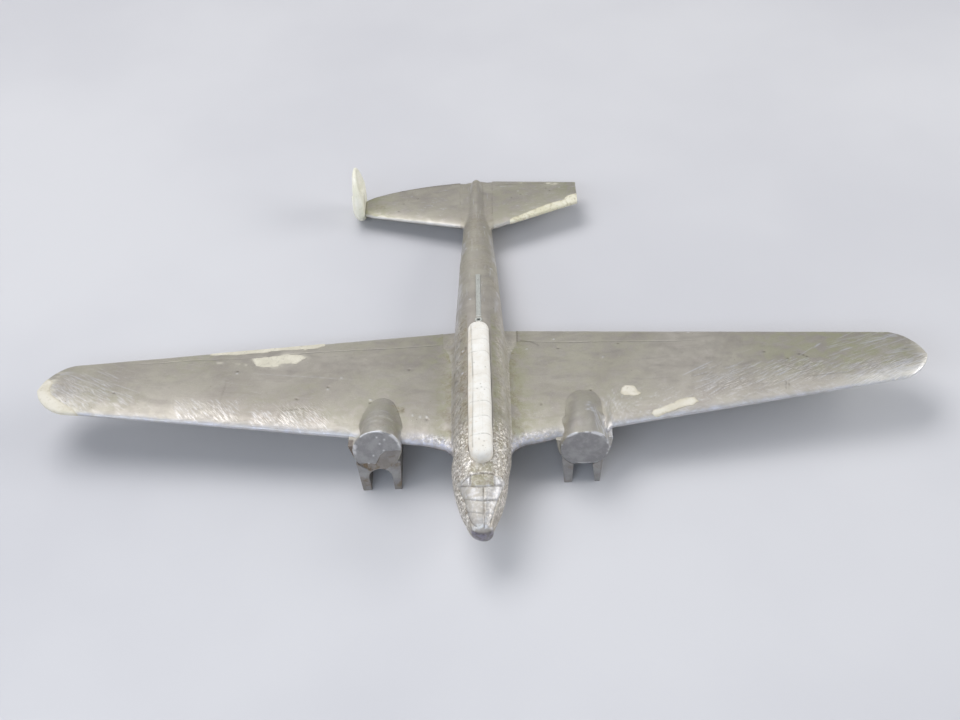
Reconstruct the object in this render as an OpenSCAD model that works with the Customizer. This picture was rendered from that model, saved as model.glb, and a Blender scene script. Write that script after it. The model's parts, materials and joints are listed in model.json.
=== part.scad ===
// Cast-metal desk model of a twin-engined, twin-tailed aeroplane,
// standing bare and unpainted on its undercarriage plates and tail.
// The nose points towards -Y, the port side is +X and +Z is up. The shapes are
// laid out in the aeroplane's own datum (wing chord plane at z = 0) and then
// tipped nose-up so that the plates and the tail stand on the desk at z = 0.

/* [Wing] */
// Wing span, tip to tip
wing_span = 152; // [142:1:160]
// Wing chord at the root
root_chord = 30.5; // [29:0.5:32]
// Wing chord where the tip rounding starts
tip_chord = 12.9; // [11:0.1:15]
// Sweep of the leading edge, set back per unit of span
le_slope = 0.1277; // [0.11:0.0001:0.14]
// Rise of each wing towards its tip in degrees
dihedral = 3; // [2:0.1:4]
// Wing thickness at the root
root_thick = 3.1; // [2.8:0.1:3.4]
// Wing thickness where the tip rounding starts
tip_thick = 1.5; // [1.3:0.1:1.8]
// Length of the rounded part of each tip
tip_round = 5.5; // [4:0.5:7]

/* [Fuselage] */
// Fore and aft position of the nose's front face
nose_y = -20.8; // [-22:0.1:-20.6]
// Fore and aft position of the tail's end
tail_y = 77.6; // [77.4:0.1:78]
// Widest part of the fuselage
body_w = 9.5; // [9.2:0.1:9.7]
// Squareness of the fuselage section, 2 being an ellipse
body_square = 2.5; // [2.2:0.1:3]

/* [Canopy] */
// Length of the canopy insert
canopy_len = 35.1; // [34:0.1:35.3]
// Width of the canopy insert
canopy_w = 3.9; // [3.8:0.1:4.2]
// How far the canopy insert sits off the centre line
canopy_x = -0.1; // [-0.2:0.05:0]
// Height of the canopy's flat top above the wing plane
canopy_top = 7.5; // [7.2:0.1:8]
// Height of the canopy seat's floor above the wing plane
seat_z = 4.5; // [4.3:0.1:4.7]

/* [Nacelles and undercarriage plates] */
// Distance of the starboard nacelle from the centre line
starboard_nacelle_x = 17.3; // [17.0:0.1:17.5]
// Distance of the port nacelle from the centre line
port_nacelle_x = 16.75; // [16.5:0.05:17]
// Radius of the starboard nacelle at its front face
starboard_nacelle_r = 3.95; // [3.9:0.05:4.05]
// Radius of the port nacelle at its front face
port_nacelle_r = 4.0; // [3.9:0.05:4.05]
// Height of the starboard nacelle's axis above the wing plane
starboard_nacelle_z = 0.6; // [0.5:0.05:0.7]
// Height of the port nacelle's axis above the wing plane
port_nacelle_z = -0.05; // [-0.1:0.05:0.1]
// Length of the starboard upper fairing behind the front face
starboard_fairing_len = 11.3; // [10.5:0.1:12]
// Length of the port upper fairing behind the front face
port_fairing_len = 12.2; // [11.5:0.1:13]
// Width of the starboard upper fairing at the front face
starboard_fairing_w = 7.3; // [7:0.1:7.6]
// Width of the port upper fairing at the front face
port_fairing_w = 7.7; // [7.4:0.1:7.9]
// Backward tilt of the starboard nacelle's front face in degrees
starboard_face_tilt = 6; // [4:0.5:8]
// Forward tilt of the port nacelle's front face in degrees
port_face_tilt = 6; // [3:0.5:7]
// Drop of the plates' front lower edge below the wing plane
foot_drop = 7.7; // [7.5:0.05:8]
// Fore and aft length of each undercarriage plate
plate_len = 8.5; // [7.5:0.1:9]

/* [Tail] */
// Half span of the tailplane on the starboard side
tail_half = 22.5; // [22:0.1:23]
// Half span of the port tailplane, whose tip is broken off with its fin
port_tail_half = 20.2; // [20:0.1:20.5]
// Distance of the tailplane's trailing edge behind the wing datum
tail_te_y = 77.4; // [77.2:0.1:77.4]
// Height of the tailplane above the wing plane
tail_z = 3; // [2.8:0.1:3.2]
// Roll of the tailplane about the fore and aft line in degrees
tail_roll = 2.8; // [2:0.1:3]
// Height of the fin
fin_h = 11.1; // [10.5:0.1:11.5]
// Fore and aft length of the fin
fin_len = 9.0; // [8.6:0.1:9.4]
// Thickness of the fin
fin_thick = 2.1; // [1.6:0.1:2.3]
// How far the fin's top leans outwards
fin_lean = 0.7; // [0:0.1:0.9]

/* [Fits] */
// Gap left between castings that are bonded together
joint_gap = 0.02; // [0.01:0.01:0.05]
// Radial clearance of the canopy's pegs and edge
lift_gap = 0.05; // [0.03:0.01:0.08]
// Radius of the front spar dowel
spar_r = 0.75; // [0.6:0.05:0.8]
// Radius of the rear spar dowel
rear_spar_r = 0.5; // [0.4:0.05:0.55]
// Radius of the bore that takes the aerial mast
mast_r = 0.3; // [0.25:0.05:0.35]
// Radius of the fin pin
fin_pin_r = 0.3; // [0.25:0.01:0.32]

/* [Hidden] */

metal = [0.62, 0.60, 0.56];
bright = [0.72, 0.72, 0.73];
dark = [0.47, 0.47, 0.48];
resin = [0.93, 0.93, 0.91];
putty = [0.88, 0.87, 0.78];
steel = [0.66, 0.67, 0.69];

// values of "side", the sign of x
port = 1;
starboard = -1;

// ---- stance on the desk ----
face_y = -2; // front of the nacelles and plates
tail_foot_y = 76.5;
tail_foot_z = -0.3;
nose_base_z = -1.7;
tail_top_z = 3.3;
stand_angle = atan((foot_drop + tail_foot_z) / (tail_foot_y - face_y));
stand_z = foot_drop * cos(stand_angle) + face_y * sin(stand_angle);
// centres the tipped model fore and aft
function tipped_y(y, z) = y * cos(stand_angle) + z * sin(stand_angle);
stand_y = -(tipped_y(nose_y, nose_base_z) + tipped_y(tail_y, tail_top_z)) / 2;

// tips the aeroplane datum onto the desk
module stand() translate([0, stand_y, stand_z]) rotate([-stand_angle, 0, 0]) children();

// everything below the desk
module desk() translate([-120, -120, -60]) cube([240, 240, 60]);

// ---- shared helpers ----
function reversed(list) = [for (i = [len(list) - 1 : -1 : 0]) list[i]];
function signed_pow(value, power) = value < 0 ? -pow(-value, power) : pow(value, power);
function ring_angles(count) = [for (i = [0 : count - 1]) 360 * (i + 0.5) / count];

// closed skin over rings of equal point count; flip turns the faces over
module skin(rings, flip = false) {
    count = len(rings[0]);
    last = len(rings) - 1;
    sides = [for (i = [0 : last - 1]) for (j = [0 : count - 1])
        let (here = i * count + j, beside = i * count + (j + 1) % count)
        each [[here, beside, beside + count], [here, beside + count, here + count]]];
    first_cap = [for (j = [count - 1 : -1 : 0]) j];
    last_cap = [for (j = [0 : count - 1]) last * count + j];
    faces = concat([first_cap], sides, [last_cap]);
    polyhedron([for (ring = rings) each ring],
        flip ? [for (face = faces) reversed(face)] : faces, convexity = 6);
}

// share of the full half thickness at a share of the chord, for a blunt-nosed section
function foil(share, thickest, end) = share < thickest
    ? pow(1 - pow(1 - share / thickest, 2.3), 1 / 2.3)
    : end + (1 - end) * (1 - pow((share - thickest) / (1 - thickest), 1.55));

// section ring at x: above and below are the largest heights either side of z,
// grow moves the outline outwards
function foil_ring(x, front_y, chord, z, above, below, thickest, end, steps, grow = 0) =
    let (shares = [for (i = [0 : steps]) 1 - cos(90 * i / steps)],
         y0 = front_y - grow, run = chord + 2 * grow)
    concat(
        [for (i = [0 : steps]) [x, y0 + shares[i] * run,
            z + above * foil(shares[i], thickest, end) + (i == 0 ? 0 : grow)]],
        [for (i = [steps : -1 : 1]) [x, y0 + shares[i] * run,
            z - below * foil(shares[i], thickest, end) - grow]]);

// rod along x across the centre line, or the looser and longer bore for it
bore_slack = 0.1;
module cross_rod(half_len, y, z, radius, facets, bore) {
    half = half_len + (bore ? bore_slack : 0);
    translate([-half, y, z]) rotate([0, 90, 0])
        cylinder(r = radius + (bore ? joint_gap : 0), h = 2 * half, $fn = facets);
}
spar_z = 0.1;
module front_spar(bore = false) cross_rod(12.4, 9, spar_z, spar_r, 40, bore);
module rear_spar(bore = false) cross_rod(10.4, 19.5, spar_z, rear_spar_r, 40, bore);
module tail_rod(bore = false) cross_rod(9.4, 66.5, tail_z, 0.4, 32, bore);

// ---- fuselage shape ----
// [y, width]
width_at = [[nose_y, 2.0], [-20.5, 3.1], [-20, 3.65], [-19.2, 4.25], [-17.7, 5.15],
    [-15.5, 6.25], [-12.2, 7.45], [-8.75, 8.25], [-6.4, 8.75], [-4, 9.1], [0, 9.4],
    [4, body_w], [17, body_w], [24, 9.1], [32.3, 8.5], [40, 7.75], [48, 7.1], [57, 6.0],
    [62.7, 5.6], [68, 4.8], [73, 4.0], [76.5, 3.2], [tail_y, 2.1]];
// [y, height of the top]
top_at = [[nose_y, 0.2], [-20.5, 0.85], [-19.6, 1.7], [-18, 2.5], [-15, 3.75],
    [-11.75, 4.85], [-8, 5.6], [0, 6], [24, 6], [33, 5.6], [48, 4.9], [60, 4.6],
    [68, 4.5], [73, 4.35], [76.5, 4.1], [tail_y, tail_top_z]];
// [y, height of the base]
base_at = [[nose_y, nose_base_z], [-20.5, -2.1], [-19.5, -2.5], [-18, -3], [-15, -3.6],
    [-8, -4.4], [0, -4.8], [15, -4.8], [30, -4.2], [45, -3.0], [60, -1.7],
    [70, -0.75], [74, -0.62], [tail_y, -0.55]];
// y of each ring
stations = [nose_y, -20.5, -20, -19.2, -18, -16.5, -14.6, -12.5, -10, -7, -3, 0,
    7, 14, 20, 26, 33, 40, 48, 54, 60, 65, 70, 74, 76.5, tail_y];

function body_ring(y) =
    let (half_w = lookup(y, width_at) / 2, top = lookup(y, top_at),
         base = lookup(y, base_at), power = 2 / body_square)
    [for (angle = ring_angles(28))
        [half_w * signed_pow(cos(angle), power), y,
         (top + base) / 2 + (top - base) / 2 * signed_pow(sin(angle), power)]];
module body_skin() skin([for (y = stations) body_ring(y)]);

// ---- wing shape ----
root_x = 5; // where the root sizes hold
root_le_y = -0.4;
round_x = wing_span / 2 - tip_round;
// x of each ring: the straight part, then shares of the rounded tip
span_at = concat([3, root_x, 9, 13.5, 20.6, 21.6, 27, 35, 44, 54, 63, round_x],
    [for (share = [0.2, 0.38, 0.54, 0.68, 0.8, 0.9, 0.97, 1]) round_x + share * tip_round]);

// the leading edge is brought forward from the fuselage to just outboard of each nacelle
glove_at = [[root_x, 0], [9, 0.45], [13.5, 1], [20.6, 1], [21.6, 0]];
function glove(x, side) = (side == port ? 1.25 : 0.4) * lookup(x, glove_at);

function tip_share(x) = max(0, (x - round_x) / tip_round);
// shares of chord and thickness left in the rounded tip
function chord_left(x) = max(0.06, pow(max(0, 1 - pow(tip_share(x), 1.6)), 0.625));
function thick_left(x) = max(0.22, sqrt(max(0, 1 - 0.95 * pow(tip_share(x), 2))));
// linear change from the root to the start of the tip rounding
function tapered(x, root, tip) =
    root + (tip - root) * (min(x, round_x) - root_x) / (round_x - root_x);
function full_chord(x) = tapered(x, root_chord, tip_chord);
function wing_le(x) = root_le_y + le_slope * (min(x, round_x) - root_x)
    + 0.46 * full_chord(x) * (1 - chord_left(x));

function wing_ring(x, side, grow) =
    let (forward = glove(x, side),
         half_thick = thick_left(x) * tapered(x, root_thick, tip_thick) / 2)
    foil_ring(side * x, wing_le(x) - forward, full_chord(x) * chord_left(x) + forward,
        (x - root_x) * tan(dihedral), above = 1.2 * half_thick, below = 0.8 * half_thick,
        thickest = 0.3, end = 0.16, steps = 10, grow = grow);
module wing_skin(side, grow = 0)
    skin([for (x = span_at) wing_ring(x, side, grow)], flip = side == starboard);

// [x, y] outer edge of the root fillet that is cast on the fuselage
root_edge = [[4.95, -6], [4.95, 18.5], [5.5, 22.5], [6.5, 25], [6.7, 34]];
module root_plan(side, gap = 0) linear_extrude(height = 20, center = true)
    polygon(concat([[0, -6]],
        [for (point = root_edge) [side * (point[0] + gap), point[1]]],
        [[0, 34]]));

// ---- tailplane shape ----
tail_root_x = 3;
// shares of the span at which the rings stand
tail_shares = [-0.14, 0.0, 0.2, 0.4, 0.6, 0.75, 0.88, 0.94, 0.98, 1];

// the starboard tip is rounded off, the port tip ends square
function tip_curve(share) = pow(max(0, share - 0.88) / 0.12, 2);
function tail_le(out, share, side) = side == port ? 59.7 + 0.415 * out
    : 60.9 + 0.36 * out + 0.7 * tip_curve(share);
function tail_te(out, share, side) = side == port ? tail_te_y - 0.3 - 0.17 * out
    : tail_te_y - 3.4 * pow(max(0, share), 2.5) - 0.5 * tip_curve(share);

function tail_ring(share, side) =
    let (out = share * ((side == port ? port_tail_half : tail_half) - tail_root_x),
         front_y = tail_le(out, share, side),
         half_thick = (1.75 - 0.5 * out / 19.5) / 2)
    foil_ring(side * (tail_root_x + out), front_y, tail_te(out, share, side) - front_y,
        tail_z, above = half_thick, below = half_thick,
        thickest = 0.28, end = 0.24, steps = 8);
module tail_skin(side)
    skin([for (share = tail_shares) tail_ring(share, side)], flip = side == starboard);

// rolls the tailplane about the fore and aft line through its root
module rolled() translate([0, 0, tail_z]) rotate([0, -tail_roll, 0])
    translate([0, 0, -tail_z]) children();

// middle block of the tailplane that is cast on the fuselage
module tail_root(gap = 0) {
    half_w = 3.25 + gap;
    translate([-half_w, 55, -10]) cube([2 * half_w, 30, 30]);
}

// front edge and tip of the port tailplane, made up in filler
module tail_band(gap = 0) translate([0, 0, -20]) linear_extrude(height = 60)
    polygon([[6.5 + gap, 55], [6.5 + gap, 62.0 - gap], [9.5, 63.7 - gap], [14, 65.9 - gap],
        [17.4, 67.2 - gap], [18.0, 68.4 - gap], [23, 68.6 - gap], [23, 55]]);

// ---- canopy shape and its seat ----
canopy_rear_y = 24.6;
canopy_front_y = canopy_rear_y - canopy_len;
// centres of the round ends
front_end_y = canopy_front_y + canopy_w / 2;
rear_end_y = canopy_rear_y - canopy_w / 2;
peg_y = [-3, 17];
// [height, distance the outline is drawn in]
canopy_levels = [[seat_z + joint_gap, 0], [6.55, 0], [6.95, 0.22],
    [canopy_top - 0.14, 0.78], [canopy_top, 1.05]];

// round-ended plan ring, narrowing towards the back
function canopy_ring(z, inset) =
    [for (angle = ring_angles(40))
        let (radius = canopy_w / 2 - inset, back = sin(angle) > 0)
        [canopy_x + radius * cos(angle) * (back ? 0.955 : 1),
         (back ? rear_end_y : front_end_y) + radius * sin(angle), z]];
module canopy_solid()
    skin([for (level = canopy_levels) canopy_ring(level[0], level[1])], flip = true);

module canopy_seat() translate([canopy_x, 0, 0]) {
    radius = canopy_w / 2 + lift_gap;
    for (y = [front_end_y, rear_end_y])
        translate([0, y, seat_z]) cylinder(r = radius, h = 6, $fn = 48);
    translate([-radius, front_end_y, seat_z]) cube([2 * radius, canopy_len - canopy_w, 6]);
}
module canopy_peg_rods(base_z, height, gap = 0) for (y = peg_y)
    translate([0, y, base_z]) cylinder(r = 0.6 + gap, h = height, $fn = 32);

// ---- mast socket and spine strip ----
socket_r = 0.65;
socket_y = 26.1;
socket_z = 4.2;
module socket_rod(z, radius, height)
    translate([0, socket_y, z]) cylinder(r = radius, h = height, $fn = 32);

strip_w = 0.88;
channel_y = 27.2;
channel_z = 5.0;
module spine_bar(y, z, width, length, height)
    translate([-width / 2, y, z]) rotate([-2.5, 0, 0]) cube([width, length, height]);

// ---- nacelles ----
dowel_y = 3.5;
dowel_r = 0.6;
dowel_z = -2.2;
dowel_len = 4.5;
face_hinge_z = -3.1; // height at which the tilted front face crosses face_y
arch_r = 1.95;
arch_x = 0.25; // from the starboard nacelle's middle
arch_drop = 4.95;
// shares of the fairing's length at which its rings stand
hump_shares = [-0.28, 0, 0.1, 0.2, 0.32, 0.44, 0.55, 0.65, 0.74, 0.82, 0.89, 0.94, 0.975, 0.995];

function pod_x(side) = side == port ? port_nacelle_x : -starboard_nacelle_x;
function pod_r(side) = side == port ? port_nacelle_r : starboard_nacelle_r;
function pod_z(side) = side == port ? port_nacelle_z : starboard_nacelle_z;
module at_pod(side) translate([pod_x(side), face_y, pod_z(side)]) children();

// rod about the fore and aft line: straight for run, then rounded off over taper
module spindle(radius, run, taper) rotate([-90, 0, 0]) rotate_extrude($fn = 64)
    polygon(concat([[0, -3.5], [radius, -3.5], [radius, run]],
        [for (i = [1 : 11]) let (share = sin(90 * i / 12))
            [radius * sqrt(max(0, 1 - share * share)), run + share * taper]],
        [[0, run + taper]]));

// upper fairing: half width, height above the axis and shift in x
// at a share of its length
function hump_w(side, share) = side == port
    ? port_fairing_w / 2 * (1 - 0.24 * pow(min(1, share / 0.45), 1.5)) * sqrt(1 - pow(share, 5))
    : starboard_fairing_w / 2 * pow(1 - pow(share, 1.8), 0.55);
function hump_h(side, share) =
    pod_r(side) * pow(1 - pow(share, side == port ? 2.6 : 2.2), 0.6);
function hump_x(side, share) = side == port ? 0.1 + 0.6 * share : 0.45;
function hump_ring(side, place) =
    let (share = max(0, place), power = 2 / (side == port ? 2.6 : 2.1),
         height = hump_h(side, share),
         length = side == port ? port_fairing_len : starboard_fairing_len)
    [for (angle = ring_angles(32))
        [hump_x(side, share) + hump_w(side, share) * signed_pow(cos(angle), power),
         place * length,
         (angle < 180 ? height : min(2, height)) * signed_pow(sin(angle), power)]];
module hump(side) skin([for (place = hump_shares) hump_ring(side, place)]);

// [x from the nacelle's middle, height above the wing plane] of the webs that widen
// the nacelle at the wing's leading edge; the starboard one has its outer web only
port_outer_web = [[3, 0.8], [4.8, 0.8], [4.7, -0.3], [3.95, -2.9], [3, -2.9]];
port_inner_web = [[-3, 0.6], [-4.6, 0.6], [-4.35, -1.1], [-3.95, -2.9], [-3, -2.9]];
starboard_web = [[-3, 1.1], [-5.2, 1.1], [-4.9, 0], [-4.05, -1.6], [-3, -1.6]];
web_len = 6.6;
module webs(side, gap = 0) {
    length = web_len + 2 * gap;
    translate([0, 1.4 - gap, -pod_z(side)]) rotate([90, 0, 0]) translate([0, 0, -length])
        linear_extrude(height = length) offset(delta = gap)
            for (web = side == port ? [port_outer_web, port_inner_web] : [starboard_web])
                polygon(web);
}

// round-topped gap between the starboard plates
module arch() translate([pod_x(starboard) + arch_x, -8, -arch_drop]) rotate([-90, 0, 0])
    cylinder(r = arch_r, h = 30, $fn = 48);

// the gap below the starboard nacelle has a round top, the port one a flat top
module nacelle_body(side, forward_tilt) difference() {
    at_pod(side) union() {
        hump(side);
        webs(side);
        rotate([-90, 0, 0]) translate([0, 0, -3]) cylinder(r = pod_r(side), h = 5, $fn = 64);
        // lower half
        intersection() {
            spindle(pod_r(side), run = 7.5, taper = 6);
            translate([-8, -5, -8]) cube([16, 30, 8]);
        }
    }
    // tilted front face
    translate([pod_x(side), face_y, face_hinge_z]) rotate([forward_tilt, 0, 0])
        translate([-10, -20, -10]) cube([20, 20, 30]);
    if (side == starboard) arch();
    else translate([pod_x(side) - 6, -6, -13.6]) cube([12, 30, 10]);
    // slot for the wing
    wing_skin(side, joint_gap);
    nacelle_rod(side, dowel_z - bore_slack, dowel_len + 2 * bore_slack, joint_gap);
    peg_bores(side);
}

// upright dowel through the wing and nacelle, or a bore for it
module nacelle_rod(side, base_z, height, gap = 0) translate([pod_x(side), dowel_y, base_z])
    cylinder(r = dowel_r + gap, h = height, $fn = 32);

// ---- undercarriage plates ----
// "way" tells a nacelle's two plates apart: +1 is the one towards +X
plate_peg_rows = [0.2, 4.4];
plate_peg_z = -4.95;
plate_peg_len = 3.5;
plate_top_drop = 1.5;
gap_top_drop = 3.1;
cut_drop = 10; // plates are drawn down to here, then cut at the desk

// distance of a plate's pegs from the nacelle's middle
function peg_off(side, way) = side == port ? (way > 0 ? 2.2 : -2.75) : (way > 0 ? 2.85 : -2.5);
// x of the outer face at the top and the foot, then of the gap face at the top and the foot
function plate_at(side, way) = side == port
    ? (way > 0 ? [3.2, 2.5, 1.25, 1.65] : [-3.75, -3.4, -1.75, -2.1])
    : (way > 0 ? [3.75, 3.55, 2.15, 2.45] : [-3.6, -2.9, -1.65, -1.35]);
// x of a sloping face where it is run on to cut_drop
function run_on(top, foot, top_drop) =
    top + (foot - top) * (cut_drop - top_drop) / (foot_drop - top_drop);

module plate_pegs(side, base_z, height, gap = 0) for (way = [-1, 1]) for (y = plate_peg_rows)
    translate([pod_x(side) + peg_off(side, way), y, base_z])
        cylinder(r = 0.4 + gap, h = height, $fn = 24);
module peg_bores(side) plate_pegs(side, plate_peg_z - 0.05, plate_peg_len + 0.1, joint_gap);

module gear_plate(side, way) difference() {
    faces = plate_at(side, way);
    top_x = faces[0];
    gap_x = faces[2];
    arch_edge_x = arch_x + 0.3 * way;
    // [x, drop below the wing plane]
    outline = concat(
        [[top_x, plate_top_drop],
         [run_on(top_x, faces[1], plate_top_drop), cut_drop],
         [run_on(gap_x, faces[3], gap_top_drop), cut_drop]],
        side == port
            ? [[gap_x, gap_top_drop], [(top_x + gap_x) / 2, plate_top_drop]]
            : [[gap_x, arch_drop], [arch_edge_x, arch_drop], [arch_edge_x, plate_top_drop]]);
    stand() difference() {
        translate([pod_x(side), face_y, 0]) rotate([-90, 0, 0])
            linear_extrude(height = plate_len) polygon(outline);
        at_pod(side) translate([0, -4, 0]) rotate([-90, 0, 0])
            cylinder(r = pod_r(side) + joint_gap, h = 30, $fn = 64);
        at_pod(side) webs(side, joint_gap);
        if (side == starboard) arch();
        peg_bores(side);
    }
    desk();
}

// ---- filled places in the wings ----
// each is [height of the pocket's floor, [x, y] outline]; a floor at through_z
// lies below the wing, so that place is filled right through
through_z = -10;
tip_patch = [through_z, [[-78, 2], [-67.8, 2], [-68.0, 8.6], [-69.9, 11.3], [-72.2, 13.2],
    [-75, 15.2], [-78, 16.5]]];
edge_patch = [through_z, [[-47.3, 23.1], [-42, 22.9], [-35.2, 23.9], [-29.9, 24.8],
    [-27.6, 25.6], [-27.6, 31], [-47.3, 31]]];
starboard_patch = [1.6, [[-39.8, 22.3], [-38.9, 19.5], [-35.1, 19.3], [-34.8, 20.3],
    [-32, 20.2], [-30.6, 22.2], [-33.4, 23.0]]];
port_spot = [2.3, [[23.45, 8.6], [23.7, 9.8], [24.3, 10.4], [25.6, 10.2], [26.1, 8.6],
    [26.7, 7.9], [25.5, 7.4], [24, 7.8]]];
port_patch = [2.0, [[28.3, 3.7], [28.5, 4.1], [30.8, 4.7], [32.9, 5.7], [35.2, 6.2],
    [35.7, 5.3], [33.6, 4.6], [31.4, 3.9], [29.4, 3.5], [28.7, 3.2]]];

// upright prism on the pocket's floor, clear of floor and sides by gap
module pocket(place, gap = 0) {
    points = place[1];
    middle = [for (i = [0, 1])
        (max([for (point = points) point[i]]) + min([for (point = points) point[i]])) / 2];
    translate([0, 0, place[0] + gap]) linear_extrude(height = 40)
        polygon([for (point = points)
            let (arm = point - middle) point - gap * arm / norm(arm)]);
}
module filling(side, place, proud = 0) intersection() {
    wing_skin(side, proud);
    pocket(place, joint_gap);
}

module wing_cast(side, places) stand() difference() {
    wing_skin(side);
    root_plan(side, joint_gap);
    front_spar(bore = true);
    rear_spar(bore = true);
    nacelle_rod(side, -6, 20, joint_gap);
    for (place = places) pocket(place);
}

// ---- fin shape ----
fin_in = -tail_half - 0.03; // x of its inner face
// [share of the thickness outwards from the inner face, distance drawn in]
fin_levels = [[1, 2.1], [0.9, 1.2], [0.7, 0.35], [0.45, 0], [0.18, 0.1], [0, 0.4]];

// oval fin, flat on its inner side and domed on its outer side
function fin_ring(share, inset) = [for (i = [0 : 35])
    let (angle = 10 * i, up = sin(angle))
    [fin_in - fin_thick * share * (1 - 0.25 * up) - fin_lean * max(0, up),
     72 + (fin_len / 2 - inset) * cos(angle),
     6 + (fin_h / 2 - inset) * signed_pow(up, up < 0 ? 0.7 : 1)]];

// pin along x from the given x, or a bore for it
module pin_rod(x, length, gap = joint_gap) translate([x, 71, tail_z]) rotate([0, 90, 0])
    cylinder(r = fin_pin_r + gap, h = length, $fn = 32);

// ---- nodes ----
module fuselage() color(metal) difference() {
    stand() difference() {
        union() {
            body_skin();
            for (side = [starboard, port]) intersection() {
                wing_skin(side);
                root_plan(side);
            }
            rolled() intersection() {
                union() {
                    tail_skin(port);
                    tail_skin(starboard);
                }
                tail_root();
            }
        }
        canopy_seat();
        canopy_peg_rods(2.4, 5, lift_gap);
        socket_rod(socket_z, socket_r + joint_gap, 5);
        spine_bar(channel_y, channel_z, strip_w + 2 * joint_gap, 14.0, 4);
        front_spar(bore = true);
        rear_spar(bore = true);
        rolled() tail_rod(bore = true);
    }
    desk();
}
module canopy() color(resin) stand() difference() {
    canopy_solid();
    canopy_peg_rods(seat_z - 1, 2.3, joint_gap);
}
module canopy_pegs() color(steel) stand() canopy_peg_rods(2.6, 3.1);
module mast_socket() color(bright) stand() difference() {
    socket_rod(socket_z + joint_gap, socket_r, 1.95);
    socket_rod(4.6, mast_r, 3);
}
module spine_strip() color(bright) stand()
    spine_bar(channel_y + joint_gap, channel_z + joint_gap, strip_w, 13.9, 0.98);

module port_wing() color(metal) wing_cast(port, [port_spot, port_patch]);
module starboard_wing() color(metal)
    wing_cast(starboard, [tip_patch, edge_patch, starboard_patch]);
module front_spar_dowel() color(steel) stand() front_spar();
module rear_spar_dowel() color(steel) stand() rear_spar();

module port_nacelle() color(dark) stand() nacelle_body(port, port_face_tilt);
module starboard_nacelle() color(dark) stand() nacelle_body(starboard, -starboard_face_tilt);
module nacelle_dowels() color(steel) stand()
    for (side = [starboard, port]) nacelle_rod(side, dowel_z, dowel_len);

module port_outer_gear_plate() color(dark) gear_plate(port, 1);
module port_inner_gear_plate() color(dark) gear_plate(port, -1);
module starboard_outer_gear_plate() color(dark) gear_plate(starboard, -1);
module starboard_inner_gear_plate() color(dark) gear_plate(starboard, 1);
module gear_plate_pegs() color(steel) stand()
    for (side = [starboard, port]) plate_pegs(side, plate_peg_z, plate_peg_len);

module port_tailplane() color(metal) stand() rolled() difference() {
    tail_skin(port);
    tail_root(joint_gap);
    tail_rod(bore = true);
    pin_rod(port_tail_half - 2.2, 4);
    tail_band();
}
module starboard_tailplane() color(metal) stand() rolled() difference() {
    tail_skin(starboard);
    tail_root(joint_gap);
    tail_rod(bore = true);
    pin_rod(-tail_half - 1, 3.2);
}
module tailplane_dowel() color(steel) stand() rolled() tail_rod();
module starboard_fin() color(putty) stand() rolled() difference() {
    skin([for (level = fin_levels) fin_ring(level[0], level[1])]);
    pin_rod(-tail_half - 1.3, 3.2);
}
module fin_pin() color(steel) stand() rolled() pin_rod(-tail_half - 1.25, 3.3, gap = 0);

module starboard_tip_filler() color(putty) stand() filling(starboard, tip_patch);
module starboard_edge_filler() color(putty) stand() {
    filling(starboard, edge_patch);
    filling(starboard, starboard_patch, proud = 0.06);
}
module port_wing_filler() color(putty) stand()
    for (place = [port_spot, port_patch]) filling(port, place, proud = 0.08);
module port_tailplane_filler() color(putty) stand() rolled() intersection() {
    tail_skin(port);
    tail_band(joint_gap);
}

fuselage();
canopy();
canopy_pegs();
mast_socket();
spine_strip();
port_wing();
starboard_wing();
front_spar_dowel();
rear_spar_dowel();
port_nacelle();
starboard_nacelle();
nacelle_dowels();
port_outer_gear_plate();
port_inner_gear_plate();
starboard_outer_gear_plate();
starboard_inner_gear_plate();
gear_plate_pegs();
port_tailplane();
starboard_tailplane();
tailplane_dowel();
starboard_fin();
fin_pin();
starboard_tip_filler();
starboard_edge_filler();
port_wing_filler();
port_tailplane_filler();
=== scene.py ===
"""
A model aeroplane of cast white metal: two engine nacelles, a resin canopy insert, one
surviving fin and patches of filler, lying on a desk.

Pieces are built in millimetres in the aeroplane's own axes: the nose points along -y,
port is +x and z is up. stand() turns them into the frame's axes.
"""

import json
import math
from itertools import product
from types import SimpleNamespace

import bpy
import numpy as np
from mathutils import Matrix, Vector


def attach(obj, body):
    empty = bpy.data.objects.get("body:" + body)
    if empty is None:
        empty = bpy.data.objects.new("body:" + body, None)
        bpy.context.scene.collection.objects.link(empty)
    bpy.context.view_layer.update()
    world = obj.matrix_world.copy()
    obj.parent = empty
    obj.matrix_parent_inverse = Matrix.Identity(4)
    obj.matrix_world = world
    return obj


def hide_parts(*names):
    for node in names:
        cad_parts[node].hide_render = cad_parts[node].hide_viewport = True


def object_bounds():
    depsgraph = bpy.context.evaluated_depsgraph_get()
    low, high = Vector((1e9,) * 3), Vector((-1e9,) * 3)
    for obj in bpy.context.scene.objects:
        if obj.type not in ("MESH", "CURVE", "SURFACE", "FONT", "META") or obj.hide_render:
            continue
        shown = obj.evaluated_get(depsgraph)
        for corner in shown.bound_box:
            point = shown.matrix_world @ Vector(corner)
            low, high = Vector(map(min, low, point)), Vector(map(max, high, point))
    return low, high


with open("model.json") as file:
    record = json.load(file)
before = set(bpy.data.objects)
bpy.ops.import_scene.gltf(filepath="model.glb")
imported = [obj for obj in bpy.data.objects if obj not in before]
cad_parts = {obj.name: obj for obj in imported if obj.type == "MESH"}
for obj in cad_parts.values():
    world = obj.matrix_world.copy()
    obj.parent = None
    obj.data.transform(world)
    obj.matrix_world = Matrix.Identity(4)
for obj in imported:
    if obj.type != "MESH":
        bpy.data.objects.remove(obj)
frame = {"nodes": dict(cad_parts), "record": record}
cad_lo, cad_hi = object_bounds()
scene = bpy.context.scene

PORT, STAR = 1, -1      # sign of x on each side

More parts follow.
